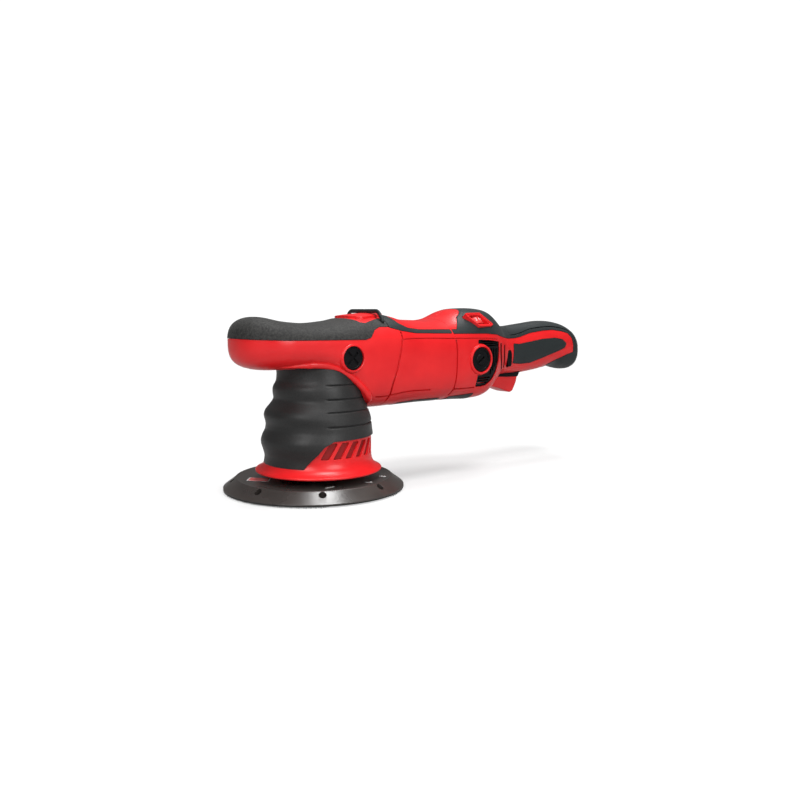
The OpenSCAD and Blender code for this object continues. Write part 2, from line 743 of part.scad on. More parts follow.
module armature_shaft() {
  large = crown_r;
  color("silver") {
    along_x(large) mirror([0, 0, 1])
      linear_extrude(large * (1 - face_ratio), scale = face_ratio) pinion_outline();
    along_x(large) cylinder(r = 5 - slip, h = 44 - large);
    along_x(44) cylinder(r = 6, h = 86);
    along_x(130) cylinder(r = 4 - slip, h = 41);
  }
}

module counterweight() {
  cup_r = 18.5;
  color("dimgray") difference() {
    union() {
      translate([0, 0, 50]) cylinder(r = 13, h = 19.5);
      translate([0, throw, 26]) cylinder(r = cup_r, h = 27);
      rotate_extrude(angle = 150, start = 195)
        polygon([[2, 52], [20, 52], [24, 30], [37, 30], [37, 60], [2, 60]]);
    }
    translate([0, 0, 51]) cylinder(r = 7.5, h = 30);
    translate([0, throw, 20]) cylinder(r = 14, h = 29);
  }
}

// ---- Pad side ----------------------------------------------------------------------

plate_top = 11;
disc_t = 2;
vent_holes = 8;

module pad_spindle() {
  color("silver") translate([0, throw, 0]) difference() {
    union() {
      translate([0, 0, 6.5]) cylinder(r = 13, h = 7);
      translate([0, 0, 13.5]) cylinder(r = 8, h = 14.2);
      translate([0, 0, 27]) cylinder(r = 6 - slip, h = 19);
    }
    translate([0, 0, 0]) cylinder(r = 4, h = 30);
  }
}

module vent_holes_through() {
  for (i = [0 : vent_holes - 1])
    rotate([0, 0, 360 * (i + 0.43) / vent_holes]) translate([66.5, 0, 6]) rotate([0, 22, 0])
      cylinder(r = 3, h = 40, center = true);
}

module backing_plate() {
  r = plate_d / 2;
  color([0.2, 0.2, 0.22]) translate([0, throw, 0]) difference() {
    rotate_extrude() polygon([[13.05, disc_t], [r, disc_t], [r, disc_t + 0.8],
      [r - 10, plate_top - 0.4], [r - 10.6, plate_top], [24, plate_top], [20, plate_top + 1],
      [13.05, plate_top + 1], [13.05, 6.4], [6, 6.4], [6, disc_t]]);
    vent_holes_through();
  }
}

module hook_disc() {
  color([0.1, 0.1, 0.1]) translate([0, throw, 0]) difference() {
    cylinder(r = plate_d / 2, h = disc_t);
    translate([0, 0, -1]) cylinder(r = 6, h = 4);
    vent_holes_through();
  }
}

module plate_bolt() {
  color("silver") translate([0, throw, 0]) difference() {
    union() {
      translate([0, 0, 6]) cylinder(r = 3.96, h = 20);
      translate([0, 0, 1.2]) cylinder(r = 5.8, h = 5.2);
    }
    translate([0, 0, 0]) cylinder(r = 3, h = 4, $fn = 6);
  }
}

// ---- Motor -------------------------------------------------------------------------

core_x = 70;
core_length = 50;
core_r = 17;

module armature_core() {
  slots = 12;
  color("slategray") along_x(core_x) linear_extrude(core_length) difference() {
    circle(core_r);
    circle(6.02);
    for (i = [0 : slots - 1])
      rotate(360 * i / slots) {
        translate([12.6, 0]) circle(2.2);
        translate([12.6, -0.7]) square([8, 1.4]);
      }
  }
}

module armature_windings() {
  color("chocolate") for (x = [core_x - 7.1, core_x + core_length + 0.1])
    along_x(x) rotate_extrude() polygon([[6.1, 0], [12, 0], [15.5, 2.5], [15.5, 5], [12, 7],
      [6.1, 7]]);
}

module commutator() {
  bars = 24;
  color("peru") along_x(134) difference() {
    cylinder(r = 12.5, h = 22);
    translate([0, 0, -1]) cylinder(r = 4, h = 24);
    for (i = [0 : bars - 1])
      rotate([0, 0, 360 * i / bars]) translate([12.5, 0, 11]) cube([1.6, 0.5, 30], center = true);
  }
}

module cooling_fan() {
  blades = 14;
  color("whitesmoke") along_x(46) difference() {
    union() {
      cylinder(r = 28, h = 1.6);
      cylinder(r = 10, h = 11);
      for (i = [0 : blades - 1])
        rotate([0, 0, 360 * i / blades]) translate([9, -0.6, 1]) rotate([0, 0, 12])
          cube([18.5, 1.2, 9]);
    }
    translate([0, 0, -1]) cylinder(r = 6.02, h = 20);
  }
}

module fan_baffle() {
  color("dimgray") along_x(58.6) difference() {
    cylinder(r = 31, h = 1.8);
    translate([0, 0, -1]) cylinder(r = 19, h = 4);
  }
}

module field_stator() {
  color("slategray") along_x(core_x + 1) linear_extrude(core_length - 2) difference() {
    circle(29.5);
    circle(core_r + 0.7);
    for (s = [-1, 1]) translate([0, s * 22]) square([30, 5], center = true);
  }
}

module field_coils() {
  color("chocolate") for (s = [0, 180], x = [core_x - 6.5, core_x + core_length - 0.5])
    along_x(x) rotate_extrude(angle = 110, start = s + 35) translate([19.5, 0]) square([7.5, 7]);
}

module brush_holders() {
  color("gold") for (side = [-1, 1])
    on_side(side, cap_x, 15, motor_z) difference() {
      translate([-5, -6.5, 0]) cube([10, 13, 18]);
      translate([-3.6, -5.1, -1]) cube([7.2, 10.2, 20]);
    }
}

module carbon_brushes() {
  color("black") for (side = [-1, 1])
    on_side(side, cap_x, 12.8, motor_z) translate([-3.5, -5, 0]) cube([7, 10, 11]);
}

module brush_springs() {
  color("silver") for (side = [-1, 1])
    on_side(side, cap_x, 24, motor_z) coil(2.4, 0.35, 10, 5);
}

module rear_bearing_frame() {
  color("dimgray") along_x(160) difference() {
    union() {
      cylinder(r = 15, h = 12);
      translate([-14, -29, 1]) cube([28, 58, 3]);
    }
    translate([0, 0, 3]) cylinder(r = 11, h = 20);
    translate([0, 0, -1]) cylinder(r = 7, h = 20);
  }
}

// ---- Screws of the housings -----------------------------------------------------------

module motor_screws() {
  color("silver") for (y = [-24.5, 24.5], z = [-25, 23])
    translate([100, y, motor_z + z]) rotate([0, 90, 0]) {
      cylinder(r = 1.8, h = 30);
      translate([0, 0, 30]) cylinder(r = 3.2, h = 3);
    }
}

// Screw from the right side: the head sits under the skin, 1.5 deep
function screw_y(p) = side_y(p[0], p[1]) - 5;

module screw_space(p) {
  translate([p[0], screw_y(p), p[1]]) rotate([-90, 0, 0]) cylinder(r = screw_head_r + 0.2, h = 60);
  translate([p[0], 0, p[1]]) rotate([90, 0, 0])
    translate([0, 0, -1]) cylinder(r = screw_r + 0.2, h = 2 * screw_y(p), center = true);
}

module handle_screws() {
  color("silver") for (p = HANDLE_SCREWS)
    translate([p[0], screw_y(p), p[1]]) {
      rotate([-90, 0, 0]) translate([0, 0, 0.1]) cylinder(r = screw_head_r, h = 3);
      rotate([90, 0, 0]) translate([0, 0, -0.1]) cylinder(r = screw_r, h = 2 * screw_y(p) - 2.2);
    }
}

head_cover();
nose_grip();
top_bumper();
motor_housing();
shoulder_trim();
rear_housing_left();
rear_housing_right();
dial_surround();
handle_grip();
side_inlay_left();
side_inlay_right();
belly_trim();
vent_grille_left();
vent_grille_right();
brush_cap_left();
brush_cap_right();
side_plug_left();
side_plug_right();
dial_bezel();
speed_dial();
trigger();
trigger_pin();
trigger_spring();
switch_plunger();
switch_module();
lock_button();
speed_control_board();
cord_inlet();
rubber_boot();
vent_shroud();
gear_case();
spindle_carrier();
spindle();
crown_gear();
upper_spindle_bearing();
lower_spindle_bearing();
counterweight();
pad_bearings();
pad_spindle();
backing_plate();
hook_disc();
plate_bolt();
armature_shaft();
armature_core();
armature_windings();
commutator();
cooling_fan();
fan_baffle();
field_stator();
field_coils();
front_motor_bearing();
rear_motor_bearing();
brush_holders();
carbon_brushes();
brush_springs();
rear_bearing_frame();
gear_case_screws();
motor_screws();
handle_screws();
shroud_screws();
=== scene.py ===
"""Looks of a dual action polisher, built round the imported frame.

Lengths inside the builders are in millimetres and become metres when a mesh is made.
+X runs to the tail of the handle, +Z up the spindle, -Y to the side with the speed dial.
"""

import math
import random

import bmesh
import bpy
import numpy as np
from mathutils import Matrix, Vector


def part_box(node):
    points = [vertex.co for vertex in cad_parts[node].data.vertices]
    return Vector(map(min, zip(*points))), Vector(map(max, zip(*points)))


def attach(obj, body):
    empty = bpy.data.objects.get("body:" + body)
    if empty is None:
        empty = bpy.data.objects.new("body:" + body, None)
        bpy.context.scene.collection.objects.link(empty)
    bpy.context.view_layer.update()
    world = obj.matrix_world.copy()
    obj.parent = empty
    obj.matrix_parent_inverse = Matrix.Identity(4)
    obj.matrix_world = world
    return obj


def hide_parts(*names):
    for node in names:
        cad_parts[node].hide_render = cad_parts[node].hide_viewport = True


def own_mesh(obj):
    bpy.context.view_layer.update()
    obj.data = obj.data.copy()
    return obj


MM = 0.001
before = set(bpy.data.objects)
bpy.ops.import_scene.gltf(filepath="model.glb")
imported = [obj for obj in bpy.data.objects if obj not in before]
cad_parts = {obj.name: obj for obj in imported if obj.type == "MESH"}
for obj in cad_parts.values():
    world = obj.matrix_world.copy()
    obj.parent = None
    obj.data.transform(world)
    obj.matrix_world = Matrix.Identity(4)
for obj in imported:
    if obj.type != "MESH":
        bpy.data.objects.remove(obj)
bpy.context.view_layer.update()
random.seed(7)


# ---- Camera ------------------------------------------

camera_data = bpy.data.cameras.new("camera")
camera_data.sensor_width = 36
camera_data.lens = 36
camera = bpy.data.objects.new("camera", camera_data)
camera.location = (-0.340, -0.5633, 0.1483)
camera.rotation_euler = (math.radians(90 - 6.453), 0, math.radians(-37))
bpy.context.scene.collection.objects.link(camera)
bpy.context.scene.camera = camera


# ---- Body surface ------------------------------------

# Body sections along X: x, underside, top, half width, squareness below and above
STATIONS = np.array([
    [-75, 102.5, 142.6, 34.5, 2.5, 2.5], [-58, 101.3, 143.2, 35.2, 2.5, 2.5],
    [-40, 101.2, 139.4, 35.6, 2.6, 2.6], [-20, 100.8, 137.4, 36.4, 2.7, 2.7],
    [-6, 98, 137.4, 37, 2.8, 2.8], [6, 91, 138.4, 37.5, 2.9, 2.9], [15, 82, 139.5, 38, 3, 3],
    [22, 72, 141, 38.3, 3.1, 3.1], [29, 67, 142.2, 38.5, 3.2, 3.2], [45, 66, 143.6, 38.8, 3.2, 3.2],
    [60, 66.3, 143.8, 39, 3.2, 3.2], [74, 66.8, 140.4, 39, 3.2, 3.2],
    [90, 67.2, 139.3, 39, 3.2, 3.2], [108, 67.2, 139.2, 39, 3.2, 3.2],
    [122, 67, 141.6, 38.8, 3.1, 3.1], [136, 66.7, 147.6, 38.4, 3, 2.8],
    [151, 66.5, 149.2, 37.6, 3, 2.6], [165, 67.8, 149, 36, 2.9, 2.4],
    [176, 73.5, 147.2, 31.5, 2.8, 2.3], [185, 80, 142, 27, 2.7, 2.2],
    [193, 84.5, 136, 22.5, 2.5, 2.2], [202, 85.5, 132.4, 20, 2.4, 2.3],
    [210, 85.3, 132.2, 18.6, 2.4, 2.3], [220, 85.5, 133.2, 18, 2.3, 2.3],
    [235, 87, 134.8, 18.2, 2.3, 2.3], [252, 89, 136.6, 19, 2.3, 2.3],
    [264, 91.4, 136.7, 19.6, 2.3, 2.3], [272, 91.8, 136, 20, 2.3, 2.3],
    [280, 89.6, 134.6, 20, 2.3, 2.3], [288, 88, 132.4, 19.4, 2.3, 2.3],
    [296, 88, 128.5, 18.4, 2.3, 2.3], [307, 91, 120, 16, 2.3, 2.3]])
NOSE_TIP, NOSE_ROUND = -75.0, 38.0
TAIL_TIP, TAIL_ROUND = 307.0, 12.0
WALL = 3.0  # thickness of the red mouldings
RUBBER = 1.5  # thickness of the rubber laid into them
GAP = 0.25  # gap between neighbouring mouldings
FAR = 200.0  # beyond the body's sides and top


def section(x, column):
    """Value of one column at x, on a smooth curve through the stations."""
    sx = STATIONS[:, 0]
    v = STATIONS[:, column]
    lo = np.clip(np.arange(len(sx)) - 1, 0, None)
    hi = np.clip(np.arange(len(sx)) + 1, None, len(sx) - 1)
    slope = (v[hi] - v[lo]) / (sx[hi] - sx[lo])
    x = np.asarray(x, float)
    i = np.clip(np.searchsorted(sx, x, side="right") - 1, 0, len(sx) - 2)
    d = sx[i + 1] - sx[i]
    t = (x - sx[i]) / d
    return ((2 * t**3 - 3 * t**2 + 1) * v[i] + (t**3 - 2 * t**2 + t) * d * slope[i]
            + (3 * t**2 - 2 * t**3) * v[i + 1] + (t**3 - t**2) * d * slope[i + 1])


def closing(u, p):
    """How far a rounded end has closed at fraction u of its length."""
    u = np.clip(u, 0, 0.9995)
    return (1 - u**p) ** (1 / p)


def end_fraction(x, inset):
    nose = (NOSE_TIP + NOSE_ROUND - x) / (NOSE_ROUND - inset)
    tail = (x - TAIL_TIP + TAIL_ROUND) / (TAIL_ROUND - inset)
    return np.maximum(nose, tail)


def mid_z(x):
    return (section(x, 1) + section(x, 2)) / 2


def half_z(x, inset=0.0):
    power = np.where(np.asarray(x) < 0, 3.6, 3.2)
    half = (section(x, 2) - section(x, 1)) / 2 - inset
    return half * closing(end_fraction(x, inset), power)


def half_y(x, inset=0.0):
    power = np.where(np.asarray(x) < 0, 2.2, 2.4)
    return (section(x, 3) - inset) * closing(end_fraction(x, inset), power)


def rise(v, start, end):
    """0 before start, 1 after end, smooth between."""
    t = np.clip((v - start) / (end - start), 0, 1)
    return t * t * (3 - 2 * t)


def lean(x, z):
    """How far the sides lean in above the upper crease and below the lower one."""
    barrel = rise(x, 14, 40) * (1 - rise(x, 128, 150))
    upper = np.maximum(z - 126.5, 0) * 0.22
    lower = np.maximum(79.5 - z, 0) * 0.30
    return barrel * (upper + lower)


def side_y(x, z, inset=0.0):
    """Distance from the middle plane to the side at x, z."""
    n = np.where(z < mid_z(x), section(x, 4), section(x, 5))
    r = np.clip(np.abs(z - mid_z(x)) / half_z(x, inset), 0, 1)
    return half_y(x, inset) * (1 - r**n) ** (1 / n) - lean(x, z)


def signed_power(v, p):
    return np.sign(v) * np.abs(v) ** p


def ring(x, inset, count):
    a = 2 * np.pi * (np.arange(count) + 0.5) / count
    q = 2 / np.where(a > np.pi, section(x, 4), section(x, 5))
    z = mid_z(x) + half_z(x, inset) * signed_power(np.sin(a), q)
    y = half_y(x, inset) * signed_power(np.cos(a), q)
    room = np.abs(y) * 0.9
    y = y - np.sign(y) * np.minimum(lean(x, z), room)
    return np.stack([np.full(count, x), y, z], 1)


# ---- Mesh tools --------------------------------------

def piece(name, points, faces):
    """An object from points in millimetres."""
    mesh = bpy.data.meshes.new(name)
    mesh.from_pydata((np.asarray(points, float) * MM).tolist(), [], faces)
    mesh.update()
    obj = bpy.data.objects.new(name, mesh)
    bpy.context.scene.collection.objects.link(obj)
    return obj


def tube_faces(rings, count, closed=False):
    """Quads of a tube of rings, with its two end caps unless it closes on itself."""
    faces = []
    last = rings if closed else rings - 1
    for i in range(last):
        j = (i + 1) % rings
        for k in range(count):
            n = (k + 1) % count
            faces.append((i * count + k, i * count + n, j * count + n, j * count + k))
    if not closed:
        faces.append(tuple(range(count - 1, -1, -1)))
        faces.append(tuple((rings - 1) * count + k for k in range(count)))
    return faces


def outward(obj):
    """Turns all faces to the outside."""
    bm = bmesh.new()
    bm.from_mesh(obj.data)
    bmesh.ops.recalc_face_normals(bm, faces=bm.faces)
    bm.to_mesh(obj.data)
    bm.free()
    return obj


def loft(name, inset, step=2.0, count=112):
    """The body surface drawn in by inset, as a closed solid."""
    nose = [NOSE_TIP + NOSE_ROUND - (NOSE_ROUND - inset) * math.sin(math.radians(a))
            for a in np.linspace(88, 3, 26)]
    middle = list(np.arange(NOSE_TIP + NOSE_ROUND, TAIL_TIP - TAIL_ROUND - step / 2, step))
    tail = [TAIL_TIP - TAIL_ROUND + (TAIL_ROUND - inset) * math.sin(math.radians(a))
            for a in np.linspace(0, 88, 14)]
    xs = nose + middle + tail
    points = np.concatenate([ring(x, inset, count) for x in xs])
    return outward(piece(name, points, tube_faces(len(xs), count)))


def rounded(points, radius, steps=5):
    """An outline with each corner turned into an arc."""
    out = []
    count = len(points)
    for i in range(count):
        p = Vector(points[i])
        a = Vector(points[i - 1]) - p
        b = Vector(points[(i + 1) % count]) - p
        angle = a.angle(b)
        cut = min(radius / math.tan(angle / 2), a.length * 0.45, b.length * 0.45)
        r = cut * math.tan(angle / 2)
        if angle > math.radians(172) or r < 0.05:
            out.append(tuple(p))
            continue
        start = p + a.normalized() * cut
        end = p + b.normalized() * cut
        for k in range(steps + 1):
            t = k / steps
            out.append(tuple((1 - t) ** 2 * start + 2 * t * (1 - t) * p + t**2 * end))
    return out


def grown(points, d):
    """An outline moved outwards by d (inwards when negative)."""
    count = len(points)
    area = sum(points[i - 1][0] * points[i][1] - points[i][0] * points[i - 1][1]
               for i in range(count))
    side = 1 if area > 0 else -1
    out = []
    for i in range(count):
        p = Vector(points[i])
        a = (p - Vector(points[i - 1])).normalized()
        b = (Vector(points[(i + 1) % count]) - p).normalized()
        na = Vector((a.y, -a.x)) * side
        nb = Vector((b.y, -b.x)) * side
        m = na + nb
        if m.length < 1e-6:
            out.append(tuple(p + na * d))
            continue
        m.normalize()
        out.append(tuple(p + m * (d / max(m.dot(na), 0.4))))
    return out


def prism(name, outline, low, high, axis="y"):
    """An outline pushed from low to high along an axis: x takes (y, z), y (x, z), z (x, y)."""
    rings = []
    for level in (low, high):
        for u, v in outline:
            rings.append({"x": (level, u, v), "y": (u, level, v), "z": (u, v, level)}[axis])
    return outward(piece(name, rings, tube_faces(2, len(outline))))


def circle(x, y, radius, count):
    turns = [2 * math.pi * k / count for k in range(count)]
    return [(x + radius * math.cos(a), y + radius * math.sin(a)) for a in turns]


def lathe(name, profile, count=128, centre=(0, 0, 0)):
    """A profile of (radius, z) points turned about a vertical axis; it may touch the axis."""
    cx, cy, cz = centre
    points = [(x, y, cz + z) for r, z in profile for x, y in circle(cx, cy, r, count)]
    on_axis = profile[0][0] < 1e-6 and profile[-1][0] < 1e-6
    obj = piece(name, points, tube_faces(len(profile), count, closed=not on_axis))
    bm = bmesh.new()
    bm.from_mesh(obj.data)
    bmesh.ops.remove_doubles(bm, verts=bm.verts, dist=1e-7)
    bmesh.ops.recalc_face_normals(bm, faces=bm.faces)
    bm.to_mesh(obj.data)
    bm.free()
    return obj


def rod(name, radius, low, high, count):
    return lathe(name, [(0, low), (radius, low), (radius, high), (0, high)], count)


def placed(obj, matrix):
    """Moves the mesh itself, so that the object stays at the origin."""
    obj.data.transform(matrix)
    return obj


def to_side(obj, side, x, z):
    """Turns a piece built up along +Z so that it points out of one side of the body."""
    turn = Matrix.Rotation(math.radians(-90 * side), 4, "X")
    return placed(obj, Matrix.Translation((x * MM, 0, z * MM)) @ turn)


def evaluated_mesh(obj):
    """A new mesh of the object with its modifiers applied."""
    bpy.context.view_layer.update()
    depsgraph = bpy.context.evaluated_depsgraph_get()
    return bpy.data.meshes.new_from_object(obj.evaluated_get(depsgraph))


def combine(target, tool, how, keep=False):
    modifier = target.modifiers.new("combine", "BOOLEAN")
    modifier.operation = how
    modifier.solver = "MANIFOLD"
    modifier.object = tool
    mesh = evaluated_mesh(target)
    target.modifiers.clear()
    old = target.data
    target.data = mesh
    bpy.data.meshes.remove(old)
    if not keep:
        bpy.data.objects.remove(tool)
    return target


def cut(target, tool, keep=False):
    return combine(target, tool, "DIFFERENCE", keep)


def within(target, tool, keep=False):
    return combine(target, tool, "INTERSECT", keep)


def joined(target, tool, keep=False):
    return combine(target, tool, "UNION", keep)


def copy(obj, name):
    twin = obj.copy()
    twin.data = obj.data.copy()
    twin.name = name
    bpy.context.scene.collection.objects.link(twin)
    return twin


def smooth(obj, angle=32):
    """Smooth shading that keeps edges sharper than the angle."""
    for polygon in obj.data.polygons:
        polygon.use_smooth = True
    bm = bmesh.new()
    bm.from_mesh(obj.data)
    bmesh.ops.remove_doubles(bm, verts=bm.verts, dist=2e-6)
    limit = math.radians(angle)
    for edge in bm.edges:
        if len(edge.link_faces) == 2 and edge.calc_face_angle(0) > limit:
            edge.smooth = False
        else:
            edge.smooth = True
    bm.to_mesh(obj.data)
    bm.free()
    return obj


def softened(obj, width=0.4, segments=2, angle=40):
    """Rounds the edges of a clean piece."""
    bevel = obj.modifiers.new("soft_edges", "BEVEL")
    bevel.width = width * MM
    bevel.segments = segments
    bevel.limit_method = "ANGLE"
    bevel.angle_limit = math.radians(angle)
    bevel.use_clamp_overlap = True
    mesh = evaluated_mesh(obj)
    obj.modifiers.clear()
    obj.data = mesh
    return obj


def box_piece(name, low, high):
    (x0, y0, z0), (x1, y1, z1) = low, high
    return prism(name, [(x0, y0), (x1, y0), (x1, y1), (x0, y1)], z0, z1, axis="z")


def swept(name, path, radii, count=16, across=None):
    """A tube along a path; radii is a number, a pair (sideways, upwards) or a list of numbers."""
    path = [Vector(p) for p in path]
    points = []
    for i, p in enumerate(path):
        ahead = (path[min(i + 1, len(path) - 1)] - path[max(i - 1, 0)]).normalized()
        up = across or Vector((0, 0, 1))
        side = ahead.cross(up).normalized()
        top = side.cross(ahead).normalized()
        r = radii[i] if isinstance(radii, list) else radii
        ru, rv = r if isinstance(r, tuple) else (r, r)
        for k in range(count):
            a = 2 * math.pi * k / count
            points.append(p + side * (ru * math.cos(a)) + top * (rv * math.sin(a)))
    return outward(piece(name, [tuple(p) for p in points], tube_faces(len(path), count)))


# ---- Materials ---------------------------------------

class Nodes:
    """A small helper round one material's node tree."""

    def __init__(self, name):
        self.material = bpy.data.materials.new(name)
        self.material.use_nodes = True
        self.tree = self.material.node_tree
        self.shader = self.tree.nodes["Principled BSDF"]

    def add(self, kind, **sockets):
        node = self.tree.nodes.new(kind)
        for key, value in sockets.items():
            node.inputs[key.replace("_", " ")].default_value = value
        return node

    def link(self, source, target):
        self.tree.links.new(source, target)

    def noise(self, scale, detail=4.0, roughness=0.55):
        node = self.add("ShaderNodeTexNoise", Scale=scale, Detail=detail, Roughness=roughness)
        self.link(self.place(), node.inputs["Vector"])
        return node

    def place(self):
        if not hasattr(self, "coordinates"):
            self.coordinates = self.tree.nodes.new("ShaderNodeTexCoord")
        return self.coordinates.outputs["Object"]

    def spread(self, source, low, high, start=0.3, end=0.7):
        """A value from low to high as the source goes from start to end."""
        node = self.tree.nodes.new("ShaderNodeMapRange")
        node.inputs["From Min"].default_value = start
        node.inputs["From Max"].default_value = end
        node.inputs["To Min"].default_value = low
        node.inputs["To Max"].default_value = high
        self.link(source, node.inputs["Value"])
        return node.outputs["Result"]

    def tint(self, source, dark, light, start=0.3, end=0.7):
        node = self.tree.nodes.new("ShaderNodeValToRGB")
        ramp = node.color_ramp
        ramp.elements[0].position = start
        ramp.elements[0].color = (*dark, 1)
        ramp.elements[1].position = end
        ramp.elements[1].color = (*light, 1)
        self.link(source, node.inputs["Fac"])
        return node.outputs["Color"]

    def bump(self, height, strength, distance, under=None):
        node = self.add("ShaderNodeBump", Strength=strength, Distance=distance)
        self.link(height, node.inputs["Height"])
        if under is not None:
            self.link(under, node.inputs["Normal"])
        return node.outputs["Normal"]

    def round_edges(self, radius):
        node = self.tree.nodes.new("ShaderNodeBevel")
        node.samples = 4
        node.inputs["Radius"].default_value = radius
        return node.outputs["Normal"]


def moulded(name, dark, light, roughness, grain=2600, grain_strength=0.12, edge=0.00035,
            patch=38, spread=0.07, gloss=0.28):
    """Injection-moulded plastic: slight colour drift, fine spark-eroded grain, soft edges."""
    n = Nodes(name)
    broad = n.noise(patch, detail=3)
    fine = n.noise(grain, detail=2)
    n.link(n.tint(broad.outputs["Fac"], dark, light), n.shader.inputs["Base Color"])
    rough = n.spread(broad.outputs["Fac"], roughness - spread / 2, roughness + spread / 2)
    n.link(rough, n.shader.inputs["Roughness"])
    edges = n.round_edges(edge)
    n.link(n.bump(fine.outputs["Fac"], grain_strength, 0.00012, edges), n.shader.inputs["Normal"])
    n.shader.inputs["Specular IOR Level"].default_value = gloss
    return n.material


def soft_rubber(name, dark, light, grain, strength, roughness=0.62):
    """Overmoulded rubber: pebbled grain, dusty high spots, dull sheen."""
    n = Nodes(name)
    broad = n.noise(30, detail=4)
    pebble = n.add("ShaderNodeTexVoronoi", Scale=grain)
    n.link(n.place(), pebble.inputs["Vector"])
    speck = n.noise(grain * 0.6, detail=3, roughness=0.7)
    mix = n.tree.nodes.new("ShaderNodeMix")
    mix.inputs["Factor"].default_value = 0.55
    n.link(speck.outputs["Fac"], mix.inputs["A"])
    n.link(pebble.outputs["Distance"], mix.inputs["B"])
    n.link(n.tint(speck.outputs["Fac"], dark, light, 0.35, 0.68), n.shader.inputs["Base Color"])
    n.link(n.spread(broad.outputs["Fac"], roughness - 0.06, roughness + 0.1),
           n.shader.inputs["Roughness"])
    edges = n.round_edges(0.0004)
    n.link(n.bump(mix.outputs["Result"], strength, 0.00025, edges), n.shader.inputs["Normal"])
    n.shader.inputs["Specular IOR Level"].default_value = 0.3
    n.shader.inputs["Sheen Weight"].default_value = 0.05
    n.shader.inputs["Sheen Roughness"].default_value = 0.5
    return n.material


def metal(name, colour, roughness, brush=900, strength=0.05):
    """Turned or cast metal: fine tool marks and a slightly uneven polish."""
    n = Nodes(name)
    fine = n.noise(brush, detail=3)
    broad = n.noise(60, detail=3)
    darker = tuple(c * 0.8 for c in colour)
    n.link(n.tint(broad.outputs["Fac"], darker, colour), n.shader.inputs["Base Color"])
    n.link(n.spread(fine.outputs["Fac"], roughness - 0.08, roughness + 0.08),
           n.shader.inputs["Roughness"])
    n.link(n.bump(fine.outputs["Fac"], strength, 0.0001, n.round_edges(0.0002)),
           n.shader.inputs["Normal"])
    n.shader.inputs["Metallic"].default_value = 1.0
    return n.material


RED = moulded("red_plastic", (0.62, 0.008, 0.011), (0.70, 0.012, 0.014), 0.33, gloss=0.42)
DARK_RED = moulded("dark_red_plastic", (0.60, 0.030, 0.030), (0.68, 0.042, 0.040), 0.45)
# Painted shade: a darker copy of the shroud's red, for the floors of its recesses, where shade
# falls.
RECESS_SHADE_RED = moulded("red_plastic_painted_shade", (0.20, 0.006, 0.006), (0.27, 0.008, 0.008), 0.55)
GRIP = soft_rubber("soft_grip", (0.004, 0.004, 0.004), (0.034, 0.033, 0.031), 1000, 0.9)
GRIP_SMOOTH = soft_rubber("soft_trim", (0.007, 0.011, 0.012), (0.013, 0.019, 0.020), 2600, 0.15,
                          0.5)
BOOT = soft_rubber("boot_rubber", (0.012, 0.012, 0.012), (0.022, 0.022, 0.022), 1900, 0.2, 0.45)
BLACK = moulded("black_plastic", (0.0025, 0.0025, 0.003), (0.005, 0.005, 0.006), 0.45, gloss=0.12)
COMPOSITE = moulded("plate_composite", (0.030, 0.024, 0.022), (0.050, 0.042, 0.038), 0.3,
                    grain=1400, grain_strength=0.2, patch=24, spread=0.1, gloss=0.75)
HOOKS = moulded("hook_fabric", (0.010, 0.010, 0.010), (0.03, 0.03, 0.03), 0.85, grain=3000)
WHITE_PRINT = moulded("white_print", (0.62, 0.61, 0.60), (0.78, 0.77, 0.76), 0.5)
RED_PRINT = moulded("red_print", (0.55, 0.05, 0.06), (0.70, 0.09, 0.09), 0.5)
STEEL = metal("ground_steel", (0.62, 0.62, 0.64), 0.28)
DARK_STEEL = metal("blackened_steel", (0.20, 0.20, 0.21), 0.42)
CASTING = metal("die_cast_aluminium", (0.56, 0.57, 0.58), 0.48, brush=500, strength=0.15)
IRON = metal("cast_iron", (0.13, 0.13, 0.14), 0.62, brush=350, strength=0.3)
COPPER = metal("lacquered_copper", (0.72, 0.30, 0.13), 0.32)
BRASS = metal("pressed_brass", (0.74, 0.55, 0.22), 0.3)
CARBON = moulded("pressed_carbon", (0.02, 0.02, 0.02), (0.035, 0.035, 0.035), 0.7)
BOARD = moulded("circuit_board", (0.01, 0.11, 0.04), (0.015, 0.16, 0.06), 0.35)
NYLON = moulded("fan_nylon", (0.60, 0.60, 0.56), (0.70, 0.70, 0.66), 0.45)


def dress(obj, material):
    obj.data.materials.clear()
    obj.data.materials.append(material)
    return obj


def sided(stem, side):
    """The name of a left (-Y) or right (+Y) piece."""
    return f"{stem}_left" if side < 0 else f"{stem}_right"


def beyond(side, distance):
    """Everything on one side of the tool, from a distance off the middle plane."""
    return box_piece("beyond", (-FAR, side * distance, 0), (2 * FAR, side * FAR, FAR))


def finish_piece(obj, material, nodes, body="housing", angle=32):
    """Shades, dresses and hangs a new piece on its body."""
    smooth(obj, angle)
    dress(obj, material)
    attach(obj, body)
    if nodes:
        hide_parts(*nodes)
    return obj


# ---- Outlines in side view, (x, z) -------------------

SEAM_A = [(46, 40), (47.4, 73), (48.6, 87), (52.2, 98), (55, 109), (58.4, 124), (58.6, 130),
          (56, 140), (56, 170)]
SEAM_B = [(114, 40), (116.6, 73), (117.2, 90), (117.6, 108), (117.4, 122), (115.4, 138),
          (117, 170)]


def shifted(line, dx):
    return [(x + dx, z) for x, z in line]


